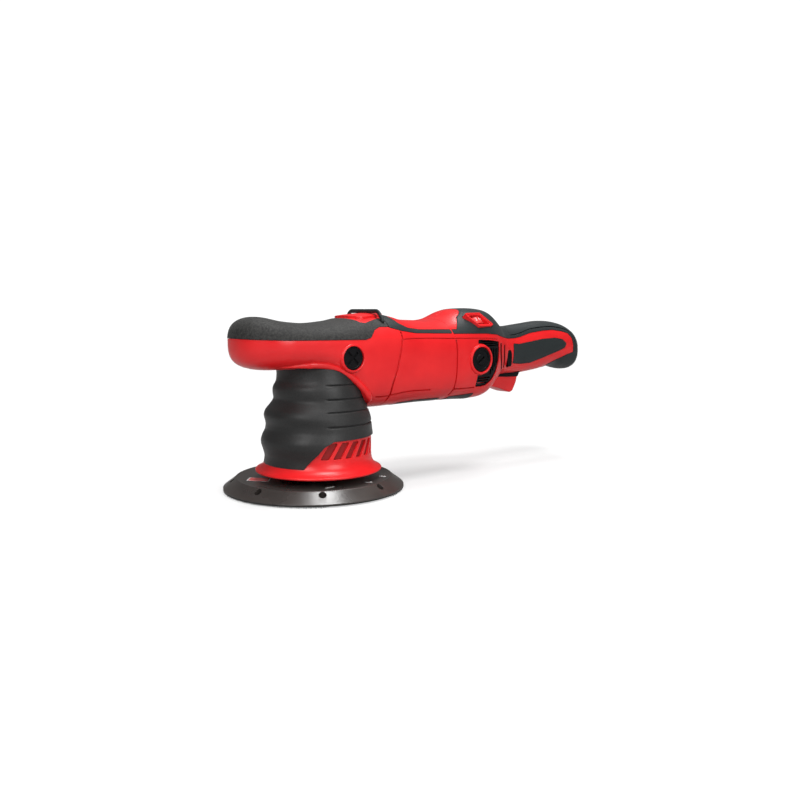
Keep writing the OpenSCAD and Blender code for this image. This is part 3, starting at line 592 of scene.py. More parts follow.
HEAD_ZONE = [(-FAR, 40)] + SEAM_A + [(-FAR, 170)]
MOTOR_ZONE = shifted(SEAM_A, GAP) + shifted(SEAM_B, -GAP)[::-1]
REAR_ZONE = SEAM_B + [(2 * FAR, 170), (2 * FAR, 40)]
NOSE_GRIP_ZONE = [(-95, 128), (-70, 126), (-45, 125.2), (23, 124.4), (28, 126), (34, 132),
                  (40, 134.3), (48.9, 134.3), (49.3, 170), (-95, 170)]
SHOULDER_ZONE = [(49.4, 133.8), (60, 131), (76, 128.7), (114.8, 127.8), (114.8, 131), (82, 131.4),
                 (69, 133), (61, 137), (58, 142), (58, 170), (49.9, 170)]
DIAL_SURROUND_ZONE = [(116.2, 127.6), (155, 127), (171, 125.8), (181, 123.6), (199, 121),
                      (203, 121), (206, 170), (147, 170), (144, 149), (131, 141.3), (122, 131),
                      (116.2, 131)]
HANDLE_GRIP_ZONE = [(203.25, 121), (209, 121.2), (217, 122.2), (232, 125.8), (249, 127.8),
                    (262, 128.3), (274, 126.8), (284, 124.6), (289, 119.8), (290.5, 112.5),
                    (290.4, 105.3), (281, 103.2), (268, 97.8), (262, 94.4), (258, 88), (262, 70),
                    (320, 70), (320, 170), (206.25, 170)]
INLAY_ZONE = [(206, 97.4), (218, 96.2), (232, 96.8), (248, 101.2), (267, 106.8), (277, 110.3),
              (279, 114.4), (273.5, 118.6), (263, 120.2), (246, 119.4), (229, 117.1),
              (214, 115.2), (206, 116)]
SHOULDER_ROOM = [(48.6, 134), (60, 131), (61, 137), (58, 142), (58, 170), (48.6, 170)]
BELLY_ZONE = [(62, 50), (65, 69.5), (80, 71), (110, 71), (113, 50)]
REAR_BELLY_ZONE = [(119, 50), (119.5, 71.4), (134, 72), (146, 73.4), (152, 50)]
GRIP_RIDGE = [(204, 124), (212, 124.6), (220, 126), (233, 129.2), (249, 131), (262, 131.4),
              (275, 129.8), (286, 127), (292, 121), (293.6, 112.5), (293.4, 106)]

outer = loft("outer_surface", 0)
cavity = loft("cavity_surface", WALL, step=6, count=56)
skin_outer = loft("skin_surface", -0.3)
skin_inner = loft("skin_back", RUBBER, step=3, count=80)
pocket_back = loft("pocket_back", RUBBER + 0.3, step=3, count=80)
groove_back = loft("groove_back", 1.1, step=3, count=96)
slot_shell = cut(loft("slot_shell", 0.7, step=3, count=96), pocket_back, keep=True)

red_shell = cut(copy(outer, "red_shell"), cavity, keep=True)
skin_shell = cut(copy(skin_outer, "skin_shell"), skin_inner, keep=True)


def shell_part(name, outline):
    """The stretch of the red shell inside an outline."""
    return within(copy(red_shell, name), prism("zone", outline, -FAR, FAR))


def pocket(outline):
    """What a piece of overmoulding takes out of the red shell."""
    space = prism("pocket", grown(rounded(outline, 1.2), GAP), -FAR, FAR)
    return cut(space, pocket_back, keep=True)


def skin(name, outline):
    """A piece of overmoulding inside an outline."""
    return within(copy(skin_shell, name), prism("zone", rounded(outline, 1.2), -FAR, FAR))


def eased(line, steps=6):
    """A smooth curve through the points of a line."""
    points = [Vector(p) for p in line]
    out = []
    for i in range(len(points) - 1):
        a, b = points[i], points[i + 1]
        before = points[max(i - 1, 0)]
        after = points[min(i + 2, len(points) - 1)]
        for k in range(steps):
            t = k / steps
            out.append(tuple(0.5 * (2 * a + (b - before) * t
                                    + (2 * before - 5 * a + 4 * b - after) * t**2
                                    + (3 * a - before - 3 * b + after) * t**3)))
    return out + [tuple(points[-1])]


def ribbon(name, line, width, side):
    """A narrow band along a line seen from the side, on one side or both."""
    line = [Vector(p) for p in eased(line)]
    left, right = [], []
    for i, p in enumerate(line):
        ahead = line[min(i + 1, len(line) - 1)] - line[max(i - 1, 0)]
        across_line = Vector((-ahead.y, ahead.x)).normalized() * (width / 2)
        left.append(tuple(p + across_line))
        right.append(tuple(p - across_line))
    low = -FAR if side <= 0 else 4
    high = FAR if side >= 0 else -4
    return prism(name, left + right[::-1], low, high)


def groove(obj, line, width=0.8, side=0):
    return cut(obj, cut(ribbon("ribbon", line, width, side), groove_back, keep=True))


# ---- Boot --------------------------------------------

# The boot's outside as (z, radius at the back, radius at the front)
BOOT_PROFILE = np.array([
    [24.6, 45.6, 45.2], [27, 45.6, 44.6], [31, 45.8, 44.3], [35, 46.0, 45.4], [40, 45.9, 47.0],
    [44, 45.4, 47.1], [48, 44.8, 45.6], [52, 44.3, 43.4], [57, 43.9, 42.9], [61, 43.3, 44.0],
    [64, 42.4, 44.5], [68, 40.8, 43.0], [72, 39.6, 39.4], [76.5, 38.8, 36.2], [81.5, 38.1, 37.0],
    [86, 37.2, 36.9], [91, 35.8, 34.0], [96, 34.4, 33.5], [101.5, 33.4, 33.8], [107, 33, 33.6]])
GROOVES = (57, 68, 78, 89)  # heights of the grooves round the back
GROOVE_END = 111  # degrees from +X, on either side
BOOT_APRON = [(-60, 15), (-36, 20), (-33, 24), (-20, 42), (-12, 46.2), (80, 47.2), (80, 15)]


def boot_radius(z, angle):
    """Radius at height z and angle in degrees from +X."""
    zs = BOOT_PROFILE[:, 0]
    fine = np.linspace(-1.5, 1.5, 7)
    back = np.mean([np.interp(z + f, zs, BOOT_PROFILE[:, 1]) for f in fine], axis=0)
    front = np.mean([np.interp(z + f, zs, BOOT_PROFILE[:, 2]) for f in fine], axis=0)
    turn = np.abs((angle + 180) % 360 - 180)
    ahead = rise(turn, 85, 150)
    r = back * (1 - ahead) + front * ahead
    for g in GROOVES:
        depth = 1.3 * np.exp(-(((z - g) / 0.6) ** 2))
        r = r - depth * (1 - rise(turn, GROOVE_END - 4, GROOVE_END + 3))
    return r


def boot_solid(name, grow=0.0, low=24.6, high=107, step=0.5, count=220):
    zs = np.arange(low, high + step / 2, step)
    angles = np.arange(count) * 360 / count
    a = np.radians(angles)
    rings = []
    for z in zs:
        r = boot_radius(np.full(count, z), angles) + grow
        rings.append(np.stack([r * np.cos(a), r * np.sin(a), np.full(count, z)], 1))
    return outward(piece(name, np.concatenate(rings), tube_faces(len(zs), count)))


def make_boot():
    boot = boot_solid("boot")
    inner = [(0, 0), (43.9, 0), (43.7, 29.5), (43.7, 48.3), (41.2, 48.8), (41.2, 60.5),
             (38.9, 65.5), (37.6, 69), (34.8, 72.8), (33.2, 78), (30.3, 85.5), (30.3, 120),
             (0, 120)]
    cut(boot, lathe("boot_inside", inner))
    cut(boot, prism("apron", rounded(BOOT_APRON, 6, 8), -FAR, FAR))
    top = [(-14, 122), (-4, 103.5), (10, 95.5), (24, 85), (60, 85), (60, 122)]
    cut(boot, prism("boot_top", top, -FAR, FAR))
    return finish_piece(boot, BOOT, ["rubber_boot"])


make_boot()
hood_space = boot_solid("hood_space", grow=0.5, low=20, high=118, step=3, count=96)


# ---- Head --------------------------------------------

PLUG_X, PLUG_Z, PLUG_R, PLUG_FACE = 10.5, 110.0, 9.3, 37.0
CROWN = [(22, -14), (25, -25), (29, -26.5), (42, -21.5), (60, -19), (60, 19), (42, 21.5),
         (29, 26.5), (25, 25), (22, 14)]
CREASE = [(34, 77.6), (42, 77.4), (52, 78.6), (68, 80.4), (90, 80.2), (118, 79.2), (136, 78.8),
          (143, 79)]
UPPER_CREASE = [(59.5, 123.9), (80, 124.3), (116, 123.4), (150, 122.8), (171, 121.4)]
REAR_SLOTS = [[(178.6, 117.5), (178.2, 110), (180.4, 100), (183.4, 92.6)],
              [(187.8, 115.5), (187.4, 108), (189, 100), (191.2, 93.4)]]
ARCH = [(-46, 101.8), (-36, 102.6), (-26, 103.1), (-18.7, 103.3), (-7.9, 102), (2.9, 98),
        (13.8, 91), (22.2, 82.6), (28.3, 75.1), (31.5, 69.5)]


def crown_window(name, grow=0.0):
    shape = rounded(CROWN, 2)
    return prism(name, grown(shape, grow), 130, 175, axis="z")


def make_head():
    head = shell_part("head_cover", HEAD_ZONE)
    recess = cut(pocket(NOSE_GRIP_ZONE), crown_window("crown"))
    cut(head, recess)
    cut(head, pocket(SHOULDER_ROOM))
    raised = rounded([(24, -10), (29, -20), (42, -18), (55, -16), (55, 16), (42, 18), (29, 20),
                      (24, 10)], 5)
    dome = within(loft("dome", -1.9, step=3, count=96), prism("raised", raised, 138, 170, axis="z"))
    joined(head, softened(dome, 1.2, 3))
    arch = eased(ARCH)
    for side in (-1, 1):
        path, radii = [], []
        for k, (x, z) in enumerate(arch):
            fade = min(k / 14, (len(arch) - 1 - k) / 6, 1)
            y = float(side_y(x - 1.2, z + 2.6)) - 0.6 + 0.9 * fade
            path.append((x - 0.6, side * y, z + 2.3))
            radii.append(0.3 + 2.6 * fade)
        joined(head, swept("lip", path, radii, 20))
        rim = lathe("rim", [(PLUG_R + 0.3, 33), (PLUG_R + 0.3, 38.0), (PLUG_R + 0.8, 38.3),
                            (PLUG_R + 1.8, 37.8), (PLUG_R + 2.6, 36.4), (PLUG_R + 2.6, 33)], 96)
        joined(head, to_side(rim, side, PLUG_X, PLUG_Z))
        hole = rod("hole", PLUG_R + 0.3, 10, 80, 96)
        cut(head, to_side(hole, side, PLUG_X, PLUG_Z))
    cut(head, hood_space, keep=True)
    groove(head, shifted(SEAM_A[1:7], -0.35), 0.9)
    groove(head, CREASE[:3], 1.1)
    return finish_piece(head, RED, ["head_cover"])


def make_nose_grip():
    grip = skin("nose_grip", NOSE_GRIP_ZONE)
    cut(grip, crown_window("crown", 0.3))
    return finish_piece(grip, GRIP, ["nose_grip"])


def make_bumper():
    """The bar across the top, with its ends turned down and a nick at the middle."""
    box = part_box("top_bumper")
    x = (box[0].x + box[1].x) / 2 / MM
    top = box[1].z / MM
    half = 20.0
    path = [(-half - 7.6, 138), (-half - 6.0, 141.2)]
    for k in range(9):
        a = math.radians(152 - 7.75 * k)
        path.append((-half + 2.4 + 6.8 * math.cos(a), top - 8.2 + 6.8 * math.sin(a)))
    path += [(-p[0], p[1]) for p in path[::-1]]
    bar = swept("top_bumper", [(x, y, z) for y, z in path], (1.75, 1.4), 24, Vector((1, 0, 0)))
    cut(bar, box_piece("nick", (x - 6, -1.1, top - 0.7), (x + 6, 1.1, top + 4)))
    return finish_piece(bar, GRIP_SMOOTH, ["top_bumper"], angle=40)


make_head()
make_nose_grip()
make_bumper()


# ---- Motor housing -----------------------------------

def belly_box():
    return box_piece("belly", (-FAR, -29, 40), (FAR, 29, 90))


def make_motor_housing():
    barrel = shell_part("motor_housing", MOTOR_ZONE)
    cut(barrel, pocket(SHOULDER_ZONE))
    cut(barrel, within(pocket(BELLY_ZONE), belly_box()))
    cut(barrel, hood_space, keep=True)
    groove(barrel, CREASE[:5], 1.1)
    groove(barrel, UPPER_CREASE[:3], 0.6)
    groove(barrel, shifted(SEAM_A[1:7], 0.5), 0.9)
    groove(barrel, shifted(SEAM_B[1:5], -0.5), 0.9)
    finish_piece(barrel, RED, ["motor_housing"])
    trim = skin("shoulder_trim", SHOULDER_ZONE)
    finish_piece(trim, GRIP_SMOOTH, ["shoulder_trim"])
    belly = within(skin("belly_trim", BELLY_ZONE), belly_box())
    finish_piece(belly, GRIP_SMOOTH, ["belly_trim"])
    # A thin dark strip along the underside behind seam B, going on from the belly trim.
    rear = within(skin("rear_belly_dark_strip", REAR_BELLY_ZONE), belly_box())
    finish_piece(rear, GRIP_SMOOTH, None)


make_motor_housing()


# ---- Rear housing and handle -------------------------

CAP_X, CAP_Z, CAP_R, CAP_FACE, CAP_RING_R = 146.0, 104.0, 10.8, 39.4, 13.6
GRILLE = [(143.5, 79.6), (151, 79.4), (157.5, 80.4), (163.5, 84.6), (169, 92), (172.6, 101),
          (174, 110), (173.6, 119), (160, 120.6), (143.5, 121.6), (143.5, 116), (150, 114),
          (155, 104), (150, 94), (143.5, 92)]
LOCK_X, LOCK_Z = 199.0, 102.0
INLET_R, INLET_Z = 7.2, 101.0
DIAL_AT = Vector((151, -29, 139.2))
DIAL_YAW, DIAL_TILT = math.radians(12), math.radians(47)
DIAL_R, DIAL_T, DIAL_DEPTH = 11.6, 7.0, 11.4
BEZEL = [(-17, 7.6), (8, 8), (16.5, -6.4), (12, -8.2), (-6, -8)]
TRIGGER_Y = 9.0
SCREWS = [(137.8, 83), (238, 92.5), (249, 124), (283, 95.5)]  # the last two go in through the grip
dial_frame = (Matrix.Translation(DIAL_AT * MM) @ Matrix.Rotation(DIAL_YAW, 4, "Z")
              @ Matrix.Rotation(DIAL_TILT, 4, "X"))
dial_axle = (dial_frame @ Matrix.Translation((0, 0, -DIAL_DEPTH * MM))
             @ Matrix.Rotation(math.pi / 2, 4, "X"))


def grille_space(name, grow=0.0):
    shape = prism(name, grown(rounded(GRILLE, 2), grow), -FAR, FAR)
    disc = circle(CAP_X, CAP_Z, CAP_RING_R + 0.7 - grow, 72)
    return cut(shape, prism("disc", disc, -2 * FAR, 2 * FAR))


def lock_outline(half_width, half_height, count=48):
    """An upright oval with full corners round the lock button's middle."""
    out = []
    for k in range(count):
        a = 2 * math.pi * k / count
        u = half_width * signed_power(math.cos(a), 2 / 3)
        v = half_height * signed_power(math.sin(a), 2 / 3)
        out.append((LOCK_X + u, LOCK_Z + v))
    return out


def inlet_space():
    turn = Matrix.Rotation(math.pi / 2, 4, "Y")
    return placed(rod("inlet", INLET_R, 270, 330, 48),
                  Matrix.Translation((0, 0, INLET_Z * MM)) @ turn)


def dial_window():
    shape = grown(rounded(BEZEL, 3), GAP)
    return placed(prism("window", shape, -12, 12, axis="z"), dial_frame)


def screw_space(x, z, depth):
    """Room for a screw's head, from a distance off the middle plane outwards."""
    return to_side(rod("screw", 3.0, depth, 80, 40), 1, x, z)


def rear_half(side):
    name = sided("rear_housing", side)
    half = shell_part(name, REAR_ZONE)
    ring_profile = [(CAP_R + 0.3, 30), (CAP_R + 0.3, 39.3), (CAP_R + 0.7, 40.0),
                    (CAP_R + 1.5, 40.0), (CAP_R + 2.4, 39.2), (CAP_RING_R, 37.4),
                    (CAP_RING_R + 0.1, 30)]
    joined(half, to_side(lathe("ring", ring_profile, 112), side, CAP_X, CAP_Z))
    for outline in (DIAL_SURROUND_ZONE, HANDLE_GRIP_ZONE, INLAY_ZONE):
        cut(half, pocket(outline))
    cut(half, grille_space("grille", GAP))
    hole = rod("hole", CAP_R + 0.3, 10, 90, 112)
    cut(half, to_side(hole, side, CAP_X, CAP_Z))
    cut(half, box_piece("trigger_slot", (178, -TRIGGER_Y - 0.8, 60), (226, TRIGGER_Y + 0.8, 97)))
    cut(half, inlet_space())
    if side < 0:
        cut(half, dial_window())
        cut(half, prism("slot", lock_outline(3.6, 8.2), -80, -8))
    else:
        for x, z in SCREWS:
            cut(half, screw_space(x, z, float(side_y(x, z)) - 5))
    cut(half, within(pocket(REAR_BELLY_ZONE), belly_box()))
    cut(half, beyond(-side, -0.08))
    groove(half, UPPER_CREASE[2:], 0.6, side)
    groove(half, CREASE[4:], 1.1, side)
    groove(half, shifted(SEAM_B[1:5], 0.35), 0.9, side)
    for line in REAR_SLOTS:
        groove(half, line, 3.6, side)
        # Painted shade: a black sheet in each slot stands for the dark hollow behind the opening.
        slot_shade = within(ribbon(sided("rear_slot_shade", side), line, 3.4, side), slot_shell, keep=True)
        finish_piece(slot_shade, BLACK, None)
    return finish_piece(half, RED, [name])


def make_rear():
    for side in (-1, 1):
        rear_half(side)
    surround = skin("dial_surround", DIAL_SURROUND_ZONE)
    cut(surround, dial_window())
    finish_piece(surround, GRIP_SMOOTH, ["dial_surround"])
    grip = skin("handle_grip", HANDLE_GRIP_ZONE)
    cut(grip, inlet_space())
    for x, z in SCREWS[2:]:
        cut(grip, screw_space(x, z, 3))
    groove(grip, GRIP_RIDGE, 0.9)
    finish_piece(grip, GRIP_SMOOTH, ["handle_grip"])
    for side in (-1, 1):
        name = sided("side_inlay", side)
        inlay = within(skin(name, INLAY_ZONE), beyond(side, 0.5))
        finish_piece(inlay, GRIP_SMOOTH, [name])


make_rear()


def make_grille(side):
    """The outlet grille: upright slots beside the cap, level ones above and below it."""
    name = sided("vent_grille", side)
    grille = cut(loft(name, 0.9, step=2.5, count=96), loft("grille_back", 2.8, step=4, count=72))
    within(grille, grille_space("zone"))
    within(grille, beyond(side, 8))
    slots = [(159.6 + 3.1 * i, 90 + 3.2 * i, 161.5 + 3.1 * i, 113.5) for i in range(4)]
    for i in range(3):
        slots.append((146 + i, 115.6 + 1.9 * i, 172 - i, 116.7 + 1.9 * i))
        slots.append((145.5, 82.2 + 2.2 * i, 158 + 1.6 * i, 83.4 + 2.2 * i))
    for x0, z0, x1, z1 in slots:
        cut(grille, box_piece("slot", (x0, side * 60, z0), (x1, side * 8, z1)))
    return finish_piece(grille, BLACK, [name])


for side in (-1, 1):
    make_grille(side)


# ---- Caps, plugs, dial, lock, trigger ----------------

def make_cap(side):
    name = sided("brush_cap", side)
    r, face = CAP_R - 0.1, CAP_FACE
    profile = [(0, 34.2), (r, 34.2), (r, face - 0.5), (r - 0.5, face), (r - 1.9, face),
               (r - 2.3, face - 1.0), (5.2, face - 1.3), (4.6, face - 0.5), (0, face - 0.4)]
    cap = lathe(name, profile, 112)
    slot = box_piece("slot", (-4.2, -0.9, face - 2.4), (4.2, 0.9, face + 3))
    cut(cap, placed(slot, Matrix.Rotation(math.radians(35), 4, "Z")))
    return finish_piece(to_side(cap, side, CAP_X, CAP_Z), BLACK, [name])


def make_plug(side):
    name = sided("side_plug", side)
    r, face = PLUG_R - 0.05, PLUG_FACE
    profile = [(0, 33), (r, 33), (r, face - 0.4), (r - 0.4, face), (r - 1.2, face),
               (r - 1.6, face - 0.6), (0, face - 0.5)]
    plug = lathe(name, profile, 96)
    for turn in (45, 135):
        slot = box_piece("slot", (-6.6, -1.2, face - 1.9), (6.6, 1.2, face + 3))
        cut(plug, placed(slot, Matrix.Rotation(math.radians(turn), 4, "Z")))
    return finish_piece(to_side(plug, side, PLUG_X, PLUG_Z), BLACK, [name])


for side in (-1, 1):
    make_cap(side)
    make_plug(side)


def make_bezel():
    bezel = prism("dial_bezel", rounded(BEZEL, 3), -4, 0.8, axis="z")
    lip = rounded([(-14.4, 6.4), (7.4, 6.8), (14.3, -5.7), (11.5, -6.9), (-5.4, -6.7)], 2)
    cut(bezel, prism("lip", lip, 0.25, 4, axis="z"))
    slot = rounded([(-11.6, 5.2), (7, 5.4), (12.6, -4.6), (9.6, -5.6), (-5, -5.4)], 1.6)
    cut(bezel, prism("slot", slot, -9, 9, axis="z"))
    placed(bezel, dial_frame)
    return finish_piece(bezel, RED, ["dial_bezel"])


def make_dial():
    dial = placed(rod("speed_dial", DIAL_R, -DIAL_T / 2, DIAL_T / 2, 144), dial_axle)
    for x, y in circle(0, 0, DIAL_R, 36):
        notch = rod("notch", 0.45, -5, -2.2, 12)
        cut(dial, placed(notch, dial_axle @ Matrix.Translation((x * MM, y * MM, 0))))
    finish_piece(dial, DARK_RED, ["speed_dial"], body="dial")


def make_dial_number(k, digit):
    """A plain numeral wrapped round the thumbwheel."""
    font = bpy.data.curves.new("digit", "FONT")
    font.body = digit
    font.size = 4.6 * MM
    font.extrude = 0.15 * MM
    font.align_x = "CENTER"
    font.align_y = "CENTER"
    text = bpy.data.objects.new("digit", font)
    bpy.context.scene.collection.objects.link(text)
    mesh = evaluated_mesh(text)
    bpy.data.objects.remove(text)
    number = bpy.data.objects.new(f"dial_number_{digit}", mesh)
    bpy.context.scene.collection.objects.link(number)
    centre = math.radians(90 - 21 * (k - 2.7))
    radius = DIAL_R * MM
    for v in mesh.vertices:
        a = centre - v.co.x / radius
        r = radius + v.co.z - 0.05 * MM
        v.co = Vector((r * math.cos(a), r * math.sin(a), -v.co.y - 0.6 * MM))
    placed(number, dial_axle)
    outward(number)
    finish_piece(number, WHITE_PRINT, None, body="dial")


make_bezel()
make_dial()
for k, digit in enumerate("123456"):
    make_dial_number(k, digit)


def make_lock():
    reach = float(side_y(LOCK_X, LOCK_Z)) + 1
    button = prism("lock_button", lock_outline(3.1, 7.6), -reach, -10.6)
    finish_piece(softened(button, 0.7, 3), BLACK, ["lock_button"], body="lock")


def make_trigger():
    outline = [(184, 86), (181.5, 78.5), (186, 75.3), (196, 73.6), (206, 70), (212, 68.4),
               (215.5, 69.8), (220, 78), (221.5, 84), (224, 88), (224, 93.8), (185, 93.8)]
    lever = prism("trigger", rounded(outline, 1.6), -TRIGGER_Y, TRIGGER_Y)
    softened(lever, 1.3, 4)
    cut(lever, prism("pin_hole", circle(189, 90, 2.05, 32), -20, 20))
    notch = [(193.5, 95), (193.5, 93.6), (195, 91.2), (200.5, 91.2), (204, 93.6), (204, 95)]
    cut(lever, prism("notch", notch, -20, 20))
    finish_piece(lever, RED, ["trigger"], body="trigger_lever")
    strip = [(185.5, 82.6), (196, 84.2), (210, 83.4), (221.4, 83.4), (223.8, 87.6), (223.4, 89),
             (205, 89.4), (192.6, 89), (186.4, 86)]
    band = prism("trigger_band", rounded(strip, 1), -TRIGGER_Y - 0.45, TRIGGER_Y + 0.45)
    inside = box_piece("inside", (150, -TRIGGER_Y + 1, 60), (240, TRIGGER_Y - 1, 120))
    cut(softened(band, 0.35), inside)
    finish_piece(band, BLACK, None, body="trigger_lever")


make_lock()
make_trigger()


# ---- Shroud ------------------------------------------

def louvre_corners(i, inwards=0.0):
    """Outline of one slanted recess as (degrees, z)."""
    start = -120 + 13.5 * i + inwards
    wide = 9 - 2 * inwards
    low, high = 31.6 + inwards, 44.6 - inwards
    return rounded([(start, low), (start + wide, low), (start + wide + 10.5, high),
                    (start + 10.5, high)], 1.2)


def curved_block(name, corners, near, outer_r, side):
    rings = []
    for r in (near, outer_r):
        for degrees, z in corners:
            a = math.radians(degrees)
            rings.append((r * math.cos(a), -side * r * math.sin(a), z))
    return outward(piece(name, rings, tube_faces(2, len(corners))))


def make_shroud():
    profile = [(51.2, 17.2), (51.9, 17.7), (52, 18.4), (51.6, 19.1), (50.4, 19.7), (48.4, 20.6),
               (46.6, 22), (45.2, 23.8), (44.2, 26.2), (43.7, 29), (43.5, 32), (43.5, 46.6),
               (42.8, 47.6), (38.2, 47.6), (38.2, 45), (41.0, 45), (41.0, 28), (43.2, 22.6),
               (48.6, 17.2)]
    shroud = lathe("vent_shroud", profile, 220)
    for side in (-1, 1):
        for i in range(7):
            cut(shroud, curved_block("louvre", louvre_corners(i), 41.9, 48, side))
            # A thin floor in the darker red lies in each recess: painted shade inside it.
            floor = curved_block(f"vent_recess_shaded_floor_{i + 1}", louvre_corners(i, 0.15), 41.6, 42.0, side)
            finish_piece(floor, RECESS_SHADE_RED, None)
    finish_piece(shroud, RED, ["vent_shroud"])


make_shroud()


# ---- Backing plate -----------------------------------

plate_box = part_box("backing_plate")
plate_centre = (plate_box[0] + plate_box[1]) / 2
PLATE = Vector((plate_centre.x, plate_centre.y, 0)) / MM
PLATE_R = (plate_box[1].x - plate_box[0].x) / 2 / MM
DISC_TOP = plate_box[0].z / MM
VENTS = 8


def vent_hole(i):
    hole = rod("vent", 3.0, -20, 20, 40)
    spin = Matrix.Rotation(2 * math.pi * (i + 0.43) / VENTS, 4, "Z")
    spot = Matrix.Translation(Vector((66.5, 0, 6)) * MM)
    tip = Matrix.Rotation(math.radians(22), 4, "Y")
    return placed(hole, Matrix.Translation(PLATE * MM) @ spin @ spot @ tip)


def make_plate():
    r = PLATE_R
    profile = [(13.1, DISC_TOP), (r - 0.2, DISC_TOP), (r, DISC_TOP + 0.3), (r, DISC_TOP + 0.9),
               (r - 0.6, DISC_TOP + 1.5), (r - 9.2, 9.8), (r - 9.8, 10.6), (r - 10.8, 11),
               (r - 11.6, 10.8), (r - 12.2, 10.7), (24, 10.7), (20, 12), (13.1, 12)]
    plate = lathe("backing_plate", profile, 256, PLATE)
    for i in range(VENTS):
        cut(plate, vent_hole(i))
    finish_piece(plate, COMPOSITE, ["backing_plate"], body="pad")


def plate_print(name, corners, corner, sunk, proud, material):
    """A flat printed patch on top of the plate."""
    level = 10.72
    shape = rounded([tuple(p) for p in corners], corner)
    patch = prism(name, shape, level - sunk, level + proud, axis="z")
    finish_piece(patch, material, None, body="pad")


def make_labels():
    """A plain two-colour patch and a few short white marks."""
    patch = [Vector(p) for p in ((-56.5, 19.5), (-49, 29), (-36.5, 15.5), (-43.5, 5.5))]
    plate_print("plate_patch_white", patch, 1, 0.4, 0.06, WHITE_PRINT)
    for k, (start, end) in enumerate(((0.06, 0.5), (0.58, 0.94))):
        low_a = patch[0].lerp(patch[1], start)
        low_b = patch[3].lerp(patch[2], start)
        high_a = patch[0].lerp(patch[1], end)
        high_b = patch[3].lerp(patch[2], end)
        bar = [low_a.lerp(low_b, 0.06), high_a.lerp(high_b, 0.06), high_a.lerp(high_b, 0.94),
               low_a.lerp(low_b, 0.94)]
        plate_print(f"plate_patch_red_{k + 1}", bar, 0.6, 0.3, 0.12, RED_PRINT)
    for k, (x, y, turn, length) in enumerate(((-16, -42.5, 6, 9), (19, -45, -30, 6),
                                              (41.5, -33, -55, 6))):
        a = math.radians(turn)
        ahead = Vector((math.cos(a), math.sin(a))) * length / 2
        wide = Vector((-math.sin(a), math.cos(a)))
        centre = Vector((x, y))
        mark = [centre - ahead - wide, centre + ahead - wide, centre + ahead + wide,
                centre - ahead + wide]
        plate_print(f"plate_mark_{k + 1}", mark, 0.5, 0.3, 0.08, WHITE_PRINT)


def make_hooks():
    """The hook disc: a thin web with rows of short hooks under it."""
    web_low = 1.2
    profile = [(6, web_low), (PLATE_R - 0.1, web_low), (PLATE_R, 1.5), (PLATE_R - 0.1, DISC_TOP),
               (6, DISC_TOP)]
    disc = lathe("hook_disc", profile, 256, PLATE)
    for i in range(VENTS):
        cut(disc, vent_hole(i))
    finish_piece(disc, HOOKS, ["hook_disc"], body="pad")
    points, faces = [], []
    pitch, sides = 2.1, 5
    levels = ((1.3, 0.28), (0.45, 0.24), (0.4, 0.5), (0.0, 0.42))
    rows = int(PLATE_R / pitch) + 1
    for j in range(-rows, rows + 1):
        for i in range(-rows, rows + 1):
            x = (i + 0.5 * (j % 2)) * pitch + random.uniform(-0.25, 0.25)
            y = j * pitch * 0.87 + random.uniform(-0.25, 0.25)
            d = math.hypot(x, y)
            if d > PLATE_R - 0.7 or d < 7 or abs(d - 66) < 4.5:
                continue
            base = len(points)
            for z, r in levels:
                points += [(px, py, z) for px, py in circle(PLATE.x + x, PLATE.y + y, r, sides)]
            hook = tube_faces(len(levels), sides)
            faces += [tuple(base + corner for corner in face) for face in hook]
    hooks = outward(piece("hooks", points, faces))
    finish_piece(hooks, HOOKS, None, body="pad")


make_plate()
make_labels()
make_hooks()


# ---- Trigger spring ----------------------------------

def make_trigger_spring():
    """Three turns of round wire, drawn at one fixed length; in the tool they close up as the switch
    plunger goes in.
    """
    low, high, turns = 96.0, 100.4, 3
    x, radius, wire = 205, 4.1, 0.4
    line = []
    for a in np.linspace(0, 2 * math.pi * turns, 24 * turns + 1):
        height = low + (high - low) * a / (2 * math.pi * turns)
        line.append((x + radius * math.cos(a), radius * math.sin(a), height))
    coil = swept("trigger_spring", line, wire, 10)
    finish_piece(coil, STEEL, ["trigger_spring"])
    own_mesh(coil)


make_trigger_spring()


# ---- CAD nodes that stay -----------------------------

KEPT = (
    (STEEL, ["spindle", "armature_shaft", "pad_spindle", "upper_spindle_bearing",
             "lower_spindle_bearing", "pad_bearings", "front_motor_bearing",
             "rear_motor_bearing", "trigger_pin", "brush_springs", "gear_case_screws",
             "motor_screws", "handle_screws", "shroud_screws", "plate_bolt"]),
    (DARK_STEEL, ["crown_gear", "armature_core", "field_stator"]),
    (CASTING, ["gear_case", "spindle_carrier"]),
    (IRON, ["counterweight"]),
    (COPPER, ["armature_windings", "field_coils", "commutator"]),
    (BRASS, ["brush_holders"]),
    (CARBON, ["carbon_brushes"]),
    (BOARD, ["speed_control_board"]),
    (NYLON, ["cooling_fan"]),
    (BLACK, ["switch_module", "switch_plunger", "cord_inlet", "rear_bearing_frame",
             "fan_baffle"]),
)
for material, nodes in KEPT:
    for node in nodes:
        for material_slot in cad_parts[node].material_slots:
            material_slot.material = material

for leftover in (outer, cavity, skin_outer, skin_inner, pocket_back, red_shell, skin_shell,
                 hood_space, groove_back, slot_shell):
    bpy.data.objects.remove(leftover)


# ---- Studio ------------------------------------------

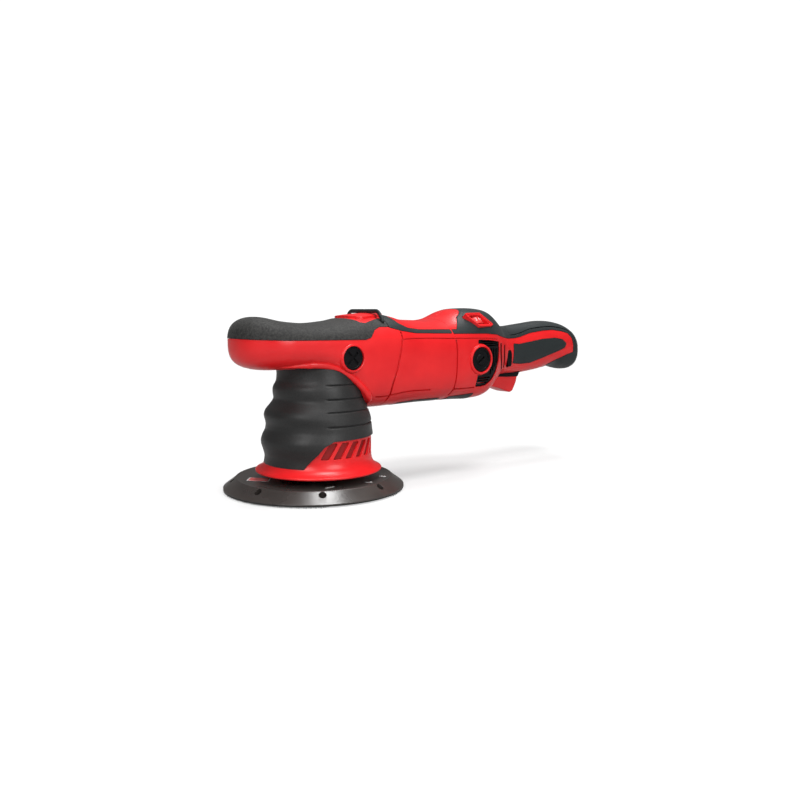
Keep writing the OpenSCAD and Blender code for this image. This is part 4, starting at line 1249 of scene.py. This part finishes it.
def camera_switch(tree, elsewhere, seen):
    """One strength for what the camera sees and another for the light that things get."""
    path = tree.nodes.new("ShaderNodeLightPath")
    switch = tree.nodes.new("ShaderNodeMapRange")
    switch.inputs["To Min"].default_value = elsewhere
    switch.inputs["To Max"].default_value = seen
    tree.links.new(path.outputs["Is Camera Ray"], switch.inputs["Value"])
    return switch.outputs["Result"]


def add_lamp(name, kind, place, towards, power):
    lamp = bpy.data.lights.new(name, kind)
    lamp.energy = power
    obj = bpy.data.objects.new(name, lamp)
    obj.location = place
    obj.rotation_euler = Vector(towards).to_track_quat("-Z", "Y").to_euler()
    bpy.context.scene.collection.objects.link(obj)
    return lamp


def make_floor():
    reach = 4000
    floor = piece("floor", [(-reach, -reach, 0), (reach, -reach, 0), (reach, reach, 0),
                            (-reach, reach, 0)], [(0, 1, 2, 3)])
    n = Nodes("studio_floor")
    n.shader.inputs["Base Color"].default_value = (0.34, 0.34, 0.34, 1)
    n.shader.inputs["Roughness"].default_value = 0.9
    n.shader.inputs["Specular IOR Level"].default_value = 0.0
    n.shader.inputs["Emission Color"].default_value = (1, 1, 1, 1)
    n.link(camera_switch(n.tree, 0.0, 0.53), n.shader.inputs["Emission Strength"])
    dress(floor, n.material)


def make_lights():
    world = bpy.data.worlds.new("studio")
    world.use_nodes = True
    tree = world.node_tree
    background = tree.nodes["Background"]
    background.inputs["Color"].default_value = (1, 1, 1, 1)
    tree.links.new(camera_switch(tree, 0.15, 1.1), background.inputs["Strength"])
    bpy.context.scene.world = world
    key = add_lamp("key", "SUN", (0, 0, 0), (-0.03, 0.27, -0.96), 2.2)
    key.angle = math.radians(20)
    fill = add_lamp("fill", "SUN", (0, 0, 0), (-0.2, -0.16, -0.96), 2.0)
    fill.angle = math.radians(26)
    front = add_lamp("front", "AREA", (0.05, -1.1, 0.5), (0, 1.1, -0.44), 6.5)
    front.size = 0.5
    side = add_lamp("side", "AREA", (-0.8, -0.5, 0.6), (0.8, 0.5, -0.54), 5)
    side.size = 0.4
    bpy.context.scene.view_settings.view_transform = "Standard"


make_floor()
make_lights()
